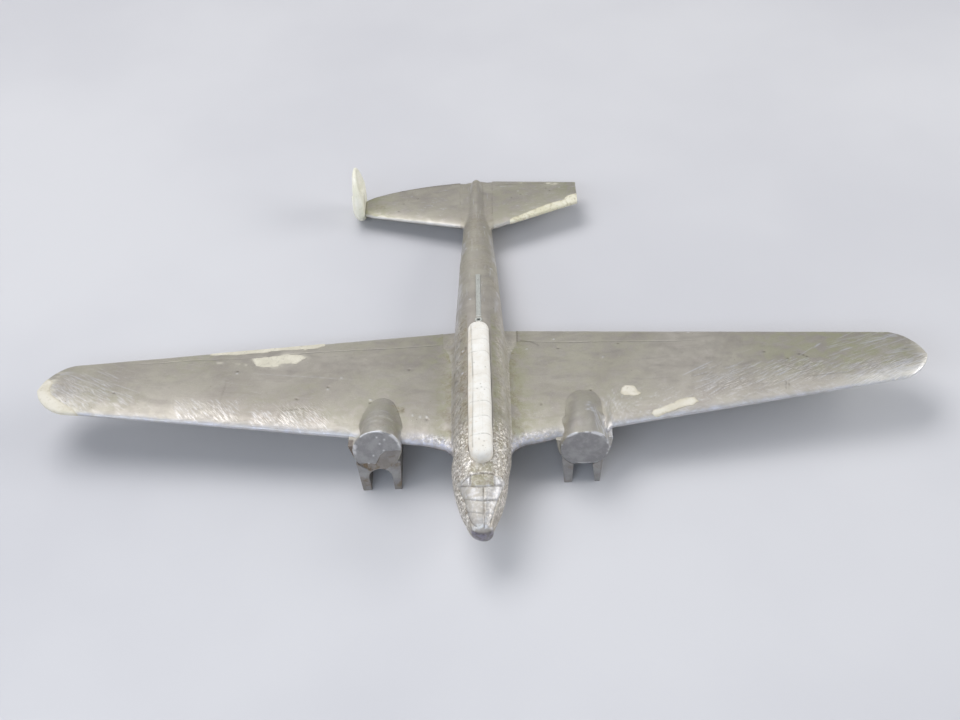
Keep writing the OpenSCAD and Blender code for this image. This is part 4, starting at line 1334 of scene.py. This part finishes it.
def seat_outline():
    share = np.linspace(0, 1, 40, endpoint=False)
    travel, start = [], 0
    for length in (CANOPY_SIDE, CANOPY_ARC) * 2:
        travel.append(start + length * share)
        start += length
    x, y = canopy_outline(SEAT_RADIUS, np.concatenate(travel))
    lean = canopy_lean(x, y)
    lean[:120] = 0      # only the front arc leans
    return list(zip(CANOPY_X + x * canopy_narrow(y) + lean, y))


def cut_body(ob):
    """Canopy seat, its peg bores, the mast seat and the spine channel."""
    boolean(ob, prism("seat", seat_outline(), 4.5, 12, step=5), "DIFFERENCE")
    for y in PEG_Y:
        boolean(ob, cylinder("bore", (0, y, 2.4), (0, y, 5.0), 0.65), "DIFFERENCE")
    mast = cylinder("mastseat", (0, MAST_Y, 4.2), (0, MAST_Y, 9), 0.67)
    boolean(ob, mast, "DIFFERENCE")
    channel = block("channel", (-0.46, 0, 0), (0.46, 14.0, 4), origin=(0, 27.2, 5.0), tilt=-2.5)
    boolean(ob, channel, "DIFFERENCE")


def build_body():
    parts = [body_loft()]
    wing_stubs = np.concatenate([np.linspace(0.3, 4.95, 26), np.linspace(5.05, 5.6, 8)])
    for side in (PORT, STAR):
        parts.append(loft("root", wing_rings(side, wing_stubs, inner=True)))
        parts.append(loft("tailroot", tail_rings(side, np.linspace(0.3, 3.42, 16))))
    ob = remesh(join(parts), BODY_VOXEL, 6)
    fillet_body(ob)
    # Ahead of the wing the flanks lie a little to starboard of the spine
    points = coords(ob)
    x, y, z = points.T
    points[:, 0] = x - 0.42 * smooth(4.4, 1.0, z) * window(y, -4.2, -8.5, -20.9, -19.6)
    put(ob, points)
    put(ob, body_skin(ob).raised())
    cut_body(ob)
    skin = body_skin(ob)
    seat = ((np.abs(skin.x - CANOPY_X) < SEAT_RADIUS + 0.02) & (skin.z < 4.6) & (skin.z > 2.3)
            & (skin.y > -10.7) & (skin.y < 24.8))
    for mask, level in zip(WEAR["wear_a"] + WEAR["wear_c"], (0.1, 0.2, 0.2, 0.1, 0, 0, 0, 0)):
        getattr(skin, mask)[seat] = level
    skin.paint(ob)
    return ob


body = build_body()

# ---------------------------------------------------------------- tailplanes
# Outline of the port tailplane's filler (x, y)
TAIL_BAND = [(6.5, 50), (6.5, 61.7), (8.0, 62.5), (10.5, 63.9), (12.5, 65.0), (14.4, 65.9),
             (16.4, 66.7), (17.4, 67.0), (18.0, 68.3), (19.2, 68.8), (23, 69.2), (23, 50)]
# Cream spots on the port tailplane (x, y, radius)
TAIL_SPOTS = [(9.3, 75.6, 0.35), (14.6, 74.3, 0.5), (15.8, 74.0, 0.5), (16.6, 75.6, 0.5),
              (12.6, 73.9, 0.35), (17.6, 75.4, 0.45), (11.0, 76.0, 0.25)]


def tail_wear(skin, side):
    x, y, cloud, tilt = skin.x, skin.y, skin.cloud, skin.facing[:, 2]
    out, up = np.abs(x), smooth(0.1, 0.4, tilt)
    front, rear = tail_edges(out, side)
    chord = (y - front) / (rear - front)
    skin.rise += wave(skin.points) + 0.01 * cloud(1.6, 9, 2)
    edge = smooth(0.05, 0.0, chord) * smooth(-0.7, 0.0, tilt)
    skin.rise += edge * 0.04 * cloud((0.9, 2, 2), 33)
    # The leading edge's forward face is painted bright as a highlight.
    if side == STAR:
        skin.bright += edge * (0.45 + 0.35 * cloud(0.8, 34, 2))
        skin.line += 0.35 * bell(chord - 0.985, 0.02)
        skin.tarnish += 0.7 * smooth(14, 22, out) + 0.3
        skin.grime += 0.5 * bell(np.hypot(x + 19.5, y - 70.2), 1.0)
    else:
        skin.bright += edge * 0.4
        skin.tarnish += 0.55 + 0.5 * smooth(15, 19, out) * smooth(0.3, 0.6, chord)
        broken = up * smooth(-0.1, 0.25, cloud(1.5, 36, 2))
        for spot_x, spot_y, radius in TAIL_SPOTS:
            spot = bell(np.hypot((x - spot_x) / 1.5, y - spot_y), radius) * broken
            skin.cream += spot
            skin.rise += 0.06 * spot
        crack = line_distance(x, y, [(4, 75.2), (9, 75.0), (13.5, 74.4)])
        skin.line += 0.4 * bell(crack, 0.12) * up
    rng = np.random.default_rng(31 + side)
    skin.scratch(scatter(rng, 60, xs=(4, 19.5), ys=(63, 76), run_x=(0.4, 2.0),
                         run_y=(-0.3, 0.4), width=0.06, strength=(0.2, 0.65), x_sign=side),
                 up, depth=0.015)
    for k in range(7):
        place = (side * rng.uniform(5, 19), rng.uniform(66, 75))
        rise, mask = (0.06, "bright") if k % 2 else (-0.08, "line")
        skin.dots([place], 0.16, rise, mask, 0.8, up)
    skin.bright += 0.3 * smooth(0.97, 1.0, chord) * (0.5 + 0.5 * skin.grain(0.8, 38))


def build_tail(side, name):
    stations = np.concatenate([np.arange(3.27, TAIL_END_STATION[side], TAIL_STEP),
                               TAIL_TIP[side] - 0.2 * np.linspace(1, 0, 6) ** 2])
    ob = loft(name, tail_rings(side, stations))
    skin = skin_of(ob)
    tail_wear(skin, side)
    points = skin.raised()
    if side == PORT:    # rough break at the snapped end
        end = smooth(19.4, 20.2, skin.x)
        points[:, 0] -= end * 0.25 * (0.5 + 0.5 * skin.cloud((0.1, 1.1, 1.1), 39))
        skin.line += 0.3 * end
        skin.cream += 0.35 * end
    put(ob, points)
    skin.paint(ob)
    return ob


def build_tail_filler():
    stations = np.arange(5.5, 20.21, TAIL_STEP)
    ob = loft("port_tailplane_filler_band", tail_rings(PORT, stations, 0.07))
    skin = skin_of(ob)
    skin.rise += (wave(skin.points) + 0.03 * skin.cloud(0.9, 301)
                  + 0.05 * smooth(17.5, 19, skin.x) * (0.4 + skin.cloud(0.7, 302, 2))
                  + 0.008 * skin.cloud(3, 303, 2))
    put(ob, skin.raised())
    boolean(ob, prism("band", TAIL_BAND, -4, 9, rough=0.14, seed=304), "INTERSECT")
    dirty_rim(ob, TAIL_BAND[1:-1], 0.4, 0.5)
    return ob


port_tail = build_tail(PORT, "port_tailplane_casting")
starboard_tail = build_tail(STAR, "starboard_tailplane_casting")
tail_filler = build_tail_filler()

# ---------------------------------------------------------------- fin
FIN_INNER_X = -22.53
# Section from the outer face round the rim to the inner face: share of thickness,
# depth in from the rim
FIN_SECTION = np.array([
    (1.0, 4.4), (1.0, 3.2), (1.0, 2.1), (0.97, 1.55), (0.9, 1.1), (0.8, 0.62), (0.7, 0.32),
    (0.58, 0.12), (0.45, 0.0), (0.3, 0.02), (0.18, 0.1), (0.06, 0.28), (0.0, 0.5), (0.0, 1.6),
    (0.0, 3.0), (0.0, 4.4)])


def build_fin():
    angle = np.linspace(0, 2 * np.pi, 120, endpoint=False)
    cosine, sine = np.cos(angle), np.sin(angle)
    rings = []
    for place in np.linspace(0, len(FIN_SECTION) - 1, 60):
        k = int(min(place, len(FIN_SECTION) - 2))
        share = place - k
        thick, depth = FIN_SECTION[k] * (1 - share) + FIN_SECTION[k + 1] * share
        thinning = 1 - np.where(sine > 0, 0.5, 0.25) * sine
        x = FIN_INNER_X - 2.1 * thick * thinning - 0.85 * np.maximum(0, sine)
        y = 72 + max(0.02, 4.5 - depth) * cosine
        z = 6 + (max(0.03, 5.55 - depth * 1.15)
                 * signed_power(sine, np.where(sine < 0, 0.7, 1.0)))
        rings.append(np.stack([x, y, z], -1))
    ob = loft("starboard_fin_casting", rolled(np.array(rings)))
    skin = skin_of(ob)
    skin.rise += 0.05 * skin.cloud(0.35, 5, 2) + 0.02 * skin.cloud(1.6, 401)
    put(ob, skin.raised())
    skin.grime += (0.6 * smooth(3.0, 0.8, skin.z) * smooth(-0.3, 0.3, skin.cloud(0.8, 402) + 0.1)
                   + 0.3 * smooth(0.1, 0.5, skin.cloud(0.6, 403)))
    skin.line += 0.5 * bell(np.hypot(skin.y - 71, skin.z - 3.8), 1.3) * (skin.x > -22.7)
    skin.paint(ob)
    return ob


fin = build_fin()

# ---------------------------------------------------------------- canopy insert
# Section from the underside up to the crown (z, depth in from the outline)
CANOPY_SECTION = [
    (4.52, 1.7), (4.52, 0.05), (4.56, 0.0), (5.0, 0.0), (5.6, 0.0), (6.2, 0.01), (6.5, 0.03),
    (6.72, 0.1), (6.9, 0.2), (7.05, 0.33), (7.18, 0.48), (7.29, 0.65), (7.37, 0.82),
    (7.43, 1.0), (7.47, 1.2), (7.49, 1.4), (7.5, 1.6), (7.5, 1.8), (7.5, 1.98)]
# Frames across the canopy (y, strength)
CANOPY_FRAMES = [(18.7, 0.6), (15.3, 0.75), (9.07, 0.35), (5.4, 0.3), (2.04, 0.7),
                 (-1.73, 0.75), (-6.13, 0.8), (21.6, 0.3)]
# Pinholes (x, y)
CANOPY_PITS = [(-0.45, 5.2), (0.25, 5.6), (0.75, 5.0), (0.3, -9.0), (-0.3, -7.4), (0.5, -7.9),
               (-0.9, 12.2), (0.1, 6.4), (1.0, 11.0)]


def canopy_skin(ob):
    skin = skin_of(ob)
    x, y, z, cloud = skin.x, skin.y, skin.z, skin.cloud
    skin.rise += 0.03 * cloud(0.3, 5, 2) + 0.012 * cloud(1.4, 501)
    for frame_y, strength in CANOPY_FRAMES:
        groove = bell(y - frame_y - 0.12 * np.sin(x * 2), 0.085) * (z > 5.6)
        skin.rise -= 0.06 * strength * groove
        skin.line += strength * groove * (0.7 + 0.4 * skin.grain(1.3, 502))
    crease = bell(x + 1.25 - 0.1 * np.sin(y * 0.2), 0.1) * (y > -9) * (y < 23) * (z > 6.5)
    skin.rise -= 0.05 * crease
    skin.line += 0.95 * crease * (0.6 + 0.4 * skin.grain(0.5, 503))
    crease = bell(x - 0.35, 0.07) * (y > -6.1) * (y < 4) * (z > 6.5)
    skin.line += 0.12 * crease
    skin.rise -= 0.02 * crease
    skin.dots(CANOPY_PITS, 0.13, -0.05, "line", 0.8, z > 6.8)
    # The starboard side wall is painted darker as shade; the next line darkens the canopy towards
    # its foot.
    skin.grime += 0.7 * smooth(-1.1, -1.5, x) * (0.5 + 0.5 * cloud(0.4, 504, 2))
    skin.grime += 0.4 * smooth(6.2, 5.4, z)
    return skin


def build_canopy():
    around = 2 * CANOPY_SIDE + 2 * CANOPY_ARC
    travel = np.linspace(0, around, 420, endpoint=False)
    height, depth = (curve(list(enumerate(column))) for column in zip(*CANOPY_SECTION))
    rings = []
    for place in np.linspace(0, len(CANOPY_SECTION) - 1, 62):
        x, y = canopy_outline(max(0.06, CANOPY_END - float(depth(place))), travel)
        x = CANOPY_X + x * canopy_narrow(y)
        x = x + canopy_lean(x, y)
        rings.append(np.stack([x, y, np.full(len(x), float(height(place)))], 1))
    ob = loft("canopy_insert_casting", np.array(rings))
    put(ob, canopy_skin(ob).raised())
    for y in PEG_Y:
        boolean(ob, cylinder("pegbore", (0, y, 4.0), (0, y, 5.8), 0.62), "DIFFERENCE")
    canopy_skin(ob).paint(ob)
    return ob


canopy = build_canopy()

# ---------------------------------------------------------------- nacelles
# Axis place and radius, the top fairing's length and width, tilt of the front face in
# degrees, and the outlines of the webs beside it (x from the axis, z)
NACELLE = {
    PORT: SimpleNamespace(
        x=16.75, z=-0.05, radius=4.0, length=12.2, width=7.7, tilt=6.0,
        webs=[[(3, 0.8), (4.8, 0.8), (4.7, -0.3), (3.95, -2.9), (3, -2.9)],
              [(-3, 0.6), (-4.6, 0.6), (-4.35, -1.1), (-3.95, -2.9), (-3, -2.9)]]),
    STAR: SimpleNamespace(
        x=-17.3, z=0.6, radius=3.95, length=11.3, width=7.3, tilt=-6.0,
        webs=[[(-3, 1.1), (-4.8, 1.1), (-4.5, 0), (-3.95, -1.6), (-3, -1.6)]]),
}
FACE_Y, FACE_Z = -2, -3.1       # a point on the front face


def hump(side):
    """The fairing over the wing."""
    nacelle = NACELLE[side]
    along = np.concatenate([[-0.28, -0.14], np.sin(np.linspace(0, np.pi / 2, 46)) * 0.997])
    along = along[:, None]
    angle = np.linspace(0, 2 * np.pi, 96, endpoint=False)[None, :]
    cosine, sine = np.cos(angle), np.sin(angle)
    run = np.maximum(along, 0)
    if side == PORT:
        narrowing = 1 - 0.24 * np.minimum(1, run / 0.45) ** 1.5
        wide = nacelle.width / 2 * narrowing * np.sqrt(1 - run ** 5)
        high, power, shift = nacelle.radius * (1 - run ** 2.6) ** 0.6, 2 / 2.6, 0.1 + 0.6 * run
    else:
        wide = nacelle.width / 2 * (1 - run ** 1.8) ** 0.55
        high, power, shift = nacelle.radius * (1 - run ** 2.2) ** 0.6, 2 / 2.1, 0.45
    x = nacelle.x + shift + wide * signed_power(cosine, power)
    y = FACE_Y + along * nacelle.length + 0 * angle
    z = nacelle.z + np.where(sine > 0, high, np.minimum(2, high)) * signed_power(sine, power)
    return loft("hump", np.stack([x, y, z], -1))


def spindle(side, run, length):
    """Round bar from ahead of the face, straight for a run and then closing."""
    nacelle = NACELLE[side]
    stations = [(-3.5, nacelle.radius), (0, nacelle.radius), (run, nacelle.radius)]
    for share in (np.sin(np.linspace(0, np.pi / 2, 26)) * 0.99)[1:]:
        stations.append((run + share * length, nacelle.radius * math.sqrt(1 - share * share)))
    angle = np.linspace(0, 2 * np.pi, 96, endpoint=False)
    rings = [np.stack([nacelle.x + radius * np.cos(angle), np.full(96, FACE_Y + y),
                       nacelle.z + radius * np.sin(angle)], -1) for y, radius in stations]
    return loft("spindle", np.array(rings))


def nacelle_solid(side, name):
    nacelle = NACELLE[side]
    x, z = nacelle.x, nacelle.z
    lower = spindle(side, run=7.5, length=6)
    boolean(lower, block("half", (x - 8, -7, z - 8), (x + 8, 25, z)), "INTERSECT")
    disc = spindle(side, run=0.9, length=1.1)
    ob = boolean(hump(side), lower, "UNION")
    boolean(ob, disc, "UNION")
    for outline in nacelle.webs:
        web = prism("web", outline, -6.0, 0.6, step=3)
        across, up, back = coords(web).T
        put(web, np.stack([x + across, -back, up], 1))
        face_outwards(web)
        boolean(ob, web, "UNION")
    front = block("face", (-10, -20, -10), (10, 0, 20), (x, FACE_Y, FACE_Z), nacelle.tilt)
    boolean(ob, front, "DIFFERENCE")
    if side == STAR:
        under = cylinder("arch", (-17.05, -8, -4.95), (-17.05, 22, -4.95), 1.95, 64)
    else:
        under = block("gap", (10.7, -8, -13), (22.7, 24, -3.6))
    boolean(ob, under, "DIFFERENCE")
    ob.name = name
    return remesh(ob, NACELLE_VOXEL, 3)


def starboard_nacelle_wear(skin, face, face_depth, radial):
    """Torn lower face, and the outboard web painted dark as shade; x is measured from the
    nacelle's axis.
    """
    x, y, z, cloud, tilt = skin.x, skin.y, skin.z, skin.cloud, skin.facing[:, 2]
    torn = np.interp(x, [-4, -0.35, 0.1, 0.4, 1.4, 4.2], [-1.65, -1.9, -1.2, -0.25, 0.5, 0.6])
    torn = torn + 0.12 * cloud(1.1, 605)
    low = smooth(0.08, -0.08, z - torn)
    skin.grime += face * low * (0.75 + 0.4 * cloud(0.8, 615)) + 0.5 * smooth(-1.8, -2.4, z)
    skin.rise += face * low * (-0.17 + 0.07 * cloud(1.2, 616))
    skin.bright += 0.7 * face * bell(z - torn - 0.08, 0.07) * smooth(0.0, 0.4, cloud(0.9, 617, 2))
    grains = [(1.15, 0.75), (-1.5, -1.75), (-0.6, -0.2), (1.4, 2.9), (0.6, 2.1), (0.2, 3.4)]
    skin.dots(grains, 0.15, 0.06, "bright", 1, face, plane=(x, z))
    inner_edge = bell(x - NACELLE[STAR].radius, 0.35) * smooth(0.5, 1.6, z) * smooth(4.5, 1.5, y)
    skin.bright += inner_edge * 0.9
    # The outboard web is painted dark as shade, with a sawn finish.
    web = smooth(-3.9, -4.1, x) * smooth(1.2, 0.6, y)
    skin.sawn = np.clip(skin.sawn + web, 0, 1)
    skin.dull += 0.9 * web
    skin.grime += 0.8 * web
    outer = window(x, -2.9, -3.6, -4.15, -3.95) * smooth(1.5, 0.0, y) * smooth(-0.5, 1.0, z)
    skin.bright += outer * smooth(0.0, 0.4, cloud(1.5, 606, 2)) * 0.9
    skin.rise += outer * 0.08 * skin.grain(1.6, 607)
    top = smooth(0.3, 0.7, tilt)
    for furrow in (1.2, 2.6, 4.4):
        distance = y - furrow - 0.3 * np.cos(x)
        skin.rise -= 0.03 * bell(distance, 0.3) * top
        # The furrow's bright crest lies half a millimetre behind it on this bow
        crest = y - furrow - 0.5 - 0.3 * np.cos(x)
        skin.bright += 0.3 * bell(crest, 0.12) * top * smooth(0, 0.4, cloud(1.3, 608, 2))
    skin.tarnish += 0.5 * smooth(1.0, 3.0, x) + 0.3
    skin.grime += 0.3 * top * smooth(0.0, 0.5, cloud(0.8, 609))


def port_nacelle_wear(skin, face, face_depth, radial):
    """Bright outer side; x is measured from the nacelle's axis."""
    x, y, z, cloud, tilt = skin.x, skin.y, skin.z, skin.cloud, skin.facing[:, 2]
    wedge = smooth(2.6, 3.3, x) * smooth(-2.4, -1.0, z) * smooth(5.0, 2.5, y) * (1 - face)
    skin.bright += wedge * (0.45 + 0.6 * cloud((3, 1, 1), 610, 2))
    rim = (bell(radial - NACELLE[PORT].radius + 0.05, 0.16) * (x > 1.0) * (z > -1.5)
           * smooth(-0.6, -0.1, face_depth))
    skin.bright += 0.9 * rim * smooth(-0.3, 0.2, cloud(1.4, 618, 2))
    web_edge = np.interp(z, [-2.9, -0.3, 0.8], [3.95, 4.7, 4.8])
    outer = bell(x - web_edge, 0.22) * smooth(1.2, 0.0, y)
    skin.bright += 1.1 * outer * smooth(-0.3, 0.3, cloud(1.6, 619, 2))
    skin.rise += wedge * 0.03 * skin.grain((3.5, 1.2, 1.2), 611)
    rng = np.random.default_rng(72)
    marks = scatter(rng, 40, xs=(1.8, 3.6), ys=(0, 6), run_x=(0.2, 0.6), run_y=(1.2, 3.0),
                    width=0.07, strength=(0.4, 1.0), run_y_sign=-1)
    skin.scratch(marks, smooth(0.0, 0.4, tilt) * (1 - face), depth=0)
    beads = [(1.2, 5.4), (1.0, 4.6), (1.5, 3.8), (0.9, 3.3), (1.7, 3.1)]
    skin.dots(beads, 0.28, 0.05, "bright", 0.8, smooth(0.3, 0.7, tilt))
    skin.rise += face * 0.02 * cloud((0.4, 1, 0.25), 612)
    skin.grime += 0.35 * smooth(-2.4, -3.0, x) * smooth(0.5, 2.0, z)
    low = bell(z + 3.4, 0.14) * face
    skin.bright += low * smooth(0.1, 0.5, cloud(1.3, 613, 2)) * 0.6
    skin.tarnish += 0.3
    skin.fine += smooth(1.5, 2.5, x)


def build_nacelle(side, name):
    nacelle = NACELLE[side]
    ob = nacelle_solid(side, name)
    skin = skin_of(ob)
    skin.x = skin.x - nacelle.x
    facing, cloud = skin.facing, skin.cloud
    tilt = math.radians(nacelle.tilt)
    forward = np.array([0, -math.cos(tilt), -math.sin(tilt)])
    face_depth = (skin.points - np.array([nacelle.x, FACE_Y, FACE_Z])) @ forward
    face = smooth(0.75, 0.93, facing @ forward) * smooth(-0.35, -0.12, face_depth)
    radial = np.hypot(skin.x, skin.z - nacelle.z)
    skin.rise += 0.04 * cloud(0.35, 601, 2) + 0.014 * cloud(1.6, 602)
    rim = (smooth(nacelle.radius - 0.35, nacelle.radius - 0.02, radial)
           * smooth(-0.5, 0.0, face_depth) * (skin.z > nacelle.z + 1.0))
    skin.bright += rim * smooth(0.0, 0.4, cloud(1.1, 603, 2) + 0.25) * 0.9
    skin.rise += rim * 0.04 * skin.grain(1.4, 604)
    skin.sawn = np.clip(face + smooth(-1.6, -2.8, skin.z - nacelle.z) * 0.9
                        + smooth(-0.2, -0.7, facing[:, 2]), 0, 1)
    side_wear = port_nacelle_wear if side == PORT else starboard_nacelle_wear
    side_wear(skin, face, face_depth, radial)
    # Upward-facing skin away from the face is painted brighter as a highlight.
    skin.bright += (0.16 * smooth(0.2, 0.7, facing[:, 2]) * (1 - face)
                    * (0.6 + 0.8 * cloud((1.6, 0.5, 1), 620)))

    # Where it meets the wing's top the skin flares out and takes on the wing's wear and painted
    # light
    span = np.abs(skin.points[:, 0])
    chord = chord_share(span, skin.y, side)
    wing_top = wing_z(span) + 1.2 * wing_half_height(span) * foil(np.clip(chord, 0, 1))
    above = skin.z - wing_top
    near = np.where(above < 0, 1.0, np.exp(-np.maximum(above, 0) / 0.5))
    near = near * smooth(-1.5, -0.8, above) * smooth(0.02, 0.09, chord) * (1 - face)
    level = np.maximum(0.05, np.hypot(facing[:, 0], facing[:, 1]))
    back = np.clip(facing[:, 1] / level, 0, 1)
    flare = (0.45 + 1.6 * back) * near * smooth(0.0, 0.25, level)
    points = skin.raised()
    for axis in (0, 1):
        points[:, axis] += flare * facing[:, axis] / level
    wing = Skin(points, np.zeros_like(points) + (0, 0, 1))
    wing_wear(wing, side)
    blend = window(above, 1.5, 0.25, -1.5, -0.8) * smooth(0.04, 0.12, chord) * (1 - face)
    for mask in sum(WEAR.values(), ()):
        own, other = getattr(skin, mask), np.clip(getattr(wing, mask), 0, 1)
        setattr(skin, mask, own * (1 - blend) + other * blend)
    put(ob, points)
    skin.paint(ob)
    return ob


port_nacelle = build_nacelle(PORT, "port_nacelle_casting")
starboard_nacelle = build_nacelle(STAR, "starboard_nacelle_casting")


# ---------------------------------------------------------------- pieces from the frame
def copy_node(node, name, voxel, rounds):
    """A frame node in the aeroplane's axes, its corners welded, remeshed."""
    source = frame["nodes"][node]
    points = np.round(unstand(coords(source) * 1000), 4)
    welded, index = np.unique(points, axis=0, return_inverse=True)
    index = index.ravel()
    faces = [[int(index[v]) for v in face.vertices] for face in source.data.polygons]
    faces = [face for face in faces if len(set(face)) == len(face)]
    mesh = bpy.data.meshes.new(name)
    mesh.from_pydata(welded.tolist(), [], faces)
    ob = bpy.data.objects.new(name, mesh)
    scene.collection.objects.link(ob)
    return remesh(ob, voxel, rounds)


def build_plate(node, side, facing_x):
    """Gear plate painted brighter, as a highlight, on the face that looks along facing_x."""
    ob = copy_node(node, node + "_casting", PLATE_VOXEL, 3)
    skin = skin_of(ob)
    skin.rise += 0.035 * skin.cloud(0.5, 701 + facing_x, 2) + 0.012 * skin.cloud(2.0, 702)
    skin.bright += (0.5 * smooth(0.25, 0.5, skin.cloud(1.3, 703 + facing_x))
                    * smooth(0.2, 0.6, facing_x * skin.facing[:, 0]))
    dirt = 0.75 if side == STAR else 0.3
    skin.grime += dirt * smooth(0.0, 0.4, skin.cloud(0.6, 704 + side) + 0.2)
    skin.sawn += 0.9
    put(ob, skin.raised())
    skin.paint(ob)
    return ob


def build_socket():
    ob = copy_node("mast_socket", "mast_socket_ring", SOCKET_VOXEL, 1)
    skin = skin_of(ob)
    skin.line += smooth(0.34, 0.3, np.hypot(skin.x, skin.y - MAST_Y)) * 0.9
    skin.paint(ob)
    return ob


def build_strip():
    ob = copy_node("spine_strip", "spine_strip_piece", STRIP_VOXEL, 2)
    skin = skin_of(ob)
    skin.rise += 0.012 * skin.cloud((1.5, 0.6, 1.5), 801)
    skin.bright += 0.6
    put(ob, skin.raised())
    skin.paint(ob)
    return ob


PLATES = [("port_outer_gear_plate", PORT, 1), ("port_inner_gear_plate", PORT, -1),
          ("starboard_outer_gear_plate", STAR, -1), ("starboard_inner_gear_plate", STAR, 1)]
plates = [(build_plate(*plate), plate[0]) for plate in PLATES]
socket = build_socket()
strip = build_strip()

# ---------------------------------------------------------------- hand over to the frame
for ob, nodes, slot, material, sharp in [
        (port_wing, ["port_wing"], "cast_metal", METAL, 50),
        (starboard_wing, ["starboard_wing"], "cast_metal", METAL, 50),
        (body, ["fuselage"], "cast_metal", METAL, 40),
        (port_tail, ["port_tailplane"], "cast_metal", METAL, 50),
        (starboard_tail, ["starboard_tailplane"], "cast_metal", METAL, 50),
        (fin, ["starboard_fin"], "fin_putty", FIN_RESIN, 60)]:
    finish(ob, "airframe", nodes, slot, material, sharp)
finish(canopy, "canopy_insert", ["canopy"], "canopy_resin", CANOPY_RESIN, 60)
for ob, nodes, slot, material in [
        (port_nacelle, ["port_nacelle"], "cast_metal", NACELLE_METAL),
        (starboard_nacelle, ["starboard_nacelle"], "cast_metal", NACELLE_METAL),
        *((plate, [node], "dark_metal", NACELLE_METAL) for plate, node in plates),
        (socket, ["mast_socket"], "bright_metal", STRIP_METAL),
        (strip, ["spine_strip"], "bright_metal", STRIP_METAL),
        (tip_filler, ["starboard_tip_filler"], "filler", FILLER),
        (edge_filler, ["starboard_edge_filler"], "filler", SMEAR),
        (patch_filler, [], "filler", SMEAR),
        (spot_filler, ["port_wing_filler"], "filler", FILLER),
        (port_patch_filler, [], "filler", FILLER),
        (tail_filler, ["port_tailplane_filler"], "filler", TAIL_FILLER)]:
    finish(ob, "airframe", nodes, slot, material)
for name in ("canopy_pegs", "front_spar_dowel", "rear_spar_dowel", "nacelle_dowels",
             "gear_plate_pegs", "tailplane_dowel", "fin_pin"):
    pins = frame["nodes"][name].data
    pins.materials.clear()
    pins.materials.append(PIN_STEEL)


# ---------------------------------------------------------------- stage, in metres
def build_desk():
    mat = Graph("desk_top")
    clouds = mat.noise(0.01, detail=4, rough=0.5)
    colour = mat.mix(mat.band(clouds, 0.35, 0.65), srgb(196, 196, 200), srgb(204, 204, 207))
    normal = mat.bumps([(mat.noise(1.2, detail=4, rough=0.6), 0.08, 0.0001)])
    mat.out(colour, 0.0, 0.75, normal, specular=0.2)
    mesh = bpy.data.meshes.new("desk")
    mesh.from_pydata([(-4, -4, 0), (4, -4, 0), (4, 4, 0), (-4, 4, 0)], [], [(0, 1, 2, 3)])
    desk = bpy.data.objects.new("desk", mesh)
    scene.collection.objects.link(desk)
    mesh.materials.append(mat.material)


def build_world():
    """Soft grey surround, darker below."""
    world = bpy.data.worlds.new("studio")
    scene.world = world
    world.use_nodes = True
    nodes, links = world.node_tree.nodes, world.node_tree.links
    background = nodes["Background"]
    place = nodes.new("ShaderNodeTexCoord")
    split = nodes.new("ShaderNodeSeparateXYZ")
    ramp = nodes.new("ShaderNodeValToRGB")
    links.new(place.outputs["Generated"], split.inputs[0])
    links.new(split.outputs["Z"], ramp.inputs["Fac"])
    links.new(ramp.outputs["Color"], background.inputs["Color"])
    stops = ramp.color_ramp.elements
    stops[0].position, stops[0].color = 0.0, (0.36, 0.37, 0.40, 1)
    stops[1].position, stops[1].color = 1.0, (0.78, 0.80, 0.84, 1)
    stops.new(0.35).color = (0.82, 0.84, 0.88, 1)
    background.inputs["Strength"].default_value = 0.395


def area(name, location, size, power, colour):
    """Rectangular light aimed at the origin."""
    light = bpy.data.lights.new(name, "AREA")
    light.shape, light.energy, light.color = "RECTANGLE", power, colour
    light.size, light.size_y = size
    ob = bpy.data.objects.new(name, light)
    scene.collection.objects.link(ob)
    ob.location = location
    aim = Vector((0, 0, 0)) - Vector(location)
    ob.rotation_euler = aim.to_track_quat("-Z", "Y").to_euler()


def build_camera(eye, yaw, pitch, cant, lens):
    """Camera looking along +y, pitched down; angles in radians, lens in mm."""
    turn = Matrix.Rotation(yaw, 3, "Z")
    right = turn @ Vector((1, 0, 0))
    ahead = turn @ Vector((0, math.cos(pitch), -math.sin(pitch)))
    above = turn @ Vector((0, math.sin(pitch), math.cos(pitch)))
    canted_right = right * math.cos(cant) + above * math.sin(cant)
    canted_up = above * math.cos(cant) - right * math.sin(cant)
    camera = bpy.data.cameras.new("camera")
    ob = bpy.data.objects.new("camera", camera)
    scene.collection.objects.link(ob)
    pose = Matrix((canted_right, canted_up, -ahead)).transposed().to_4x4()
    pose.translation = Vector(eye)
    ob.matrix_world = pose
    camera.lens, camera.sensor_width = lens, 36
    camera.clip_start, camera.clip_end = 0.005, 20
    scene.camera = ob


build_desk()
scene.view_settings.view_transform = "Standard"
scene.view_settings.look = "None"
build_world()
area("key", location=(-0.20, 0.18, 0.54), size=(0.5, 0.36), power=2.38,
     colour=(1.0, 0.988, 0.985))
area("front", location=(-0.12, -0.46, 0.38), size=(0.5, 0.14), power=1.2,
     colour=(0.78, 0.87, 1.0))
area("side", location=(0.5, 0.02, 0.22), size=(0.34, 0.26), power=1.35,
     colour=(1.0, 0.99, 0.97))
area("left", location=(-0.45, -0.22, 0.2), size=(0.3, 0.2), power=0.5,
     colour=(0.96, 0.98, 1.0))
build_camera(eye=(0.0041897, -0.1933531, 0.1829871), yaw=0.0228, pitch=0.7590,
             cant=-0.0576, lens=54.71625)
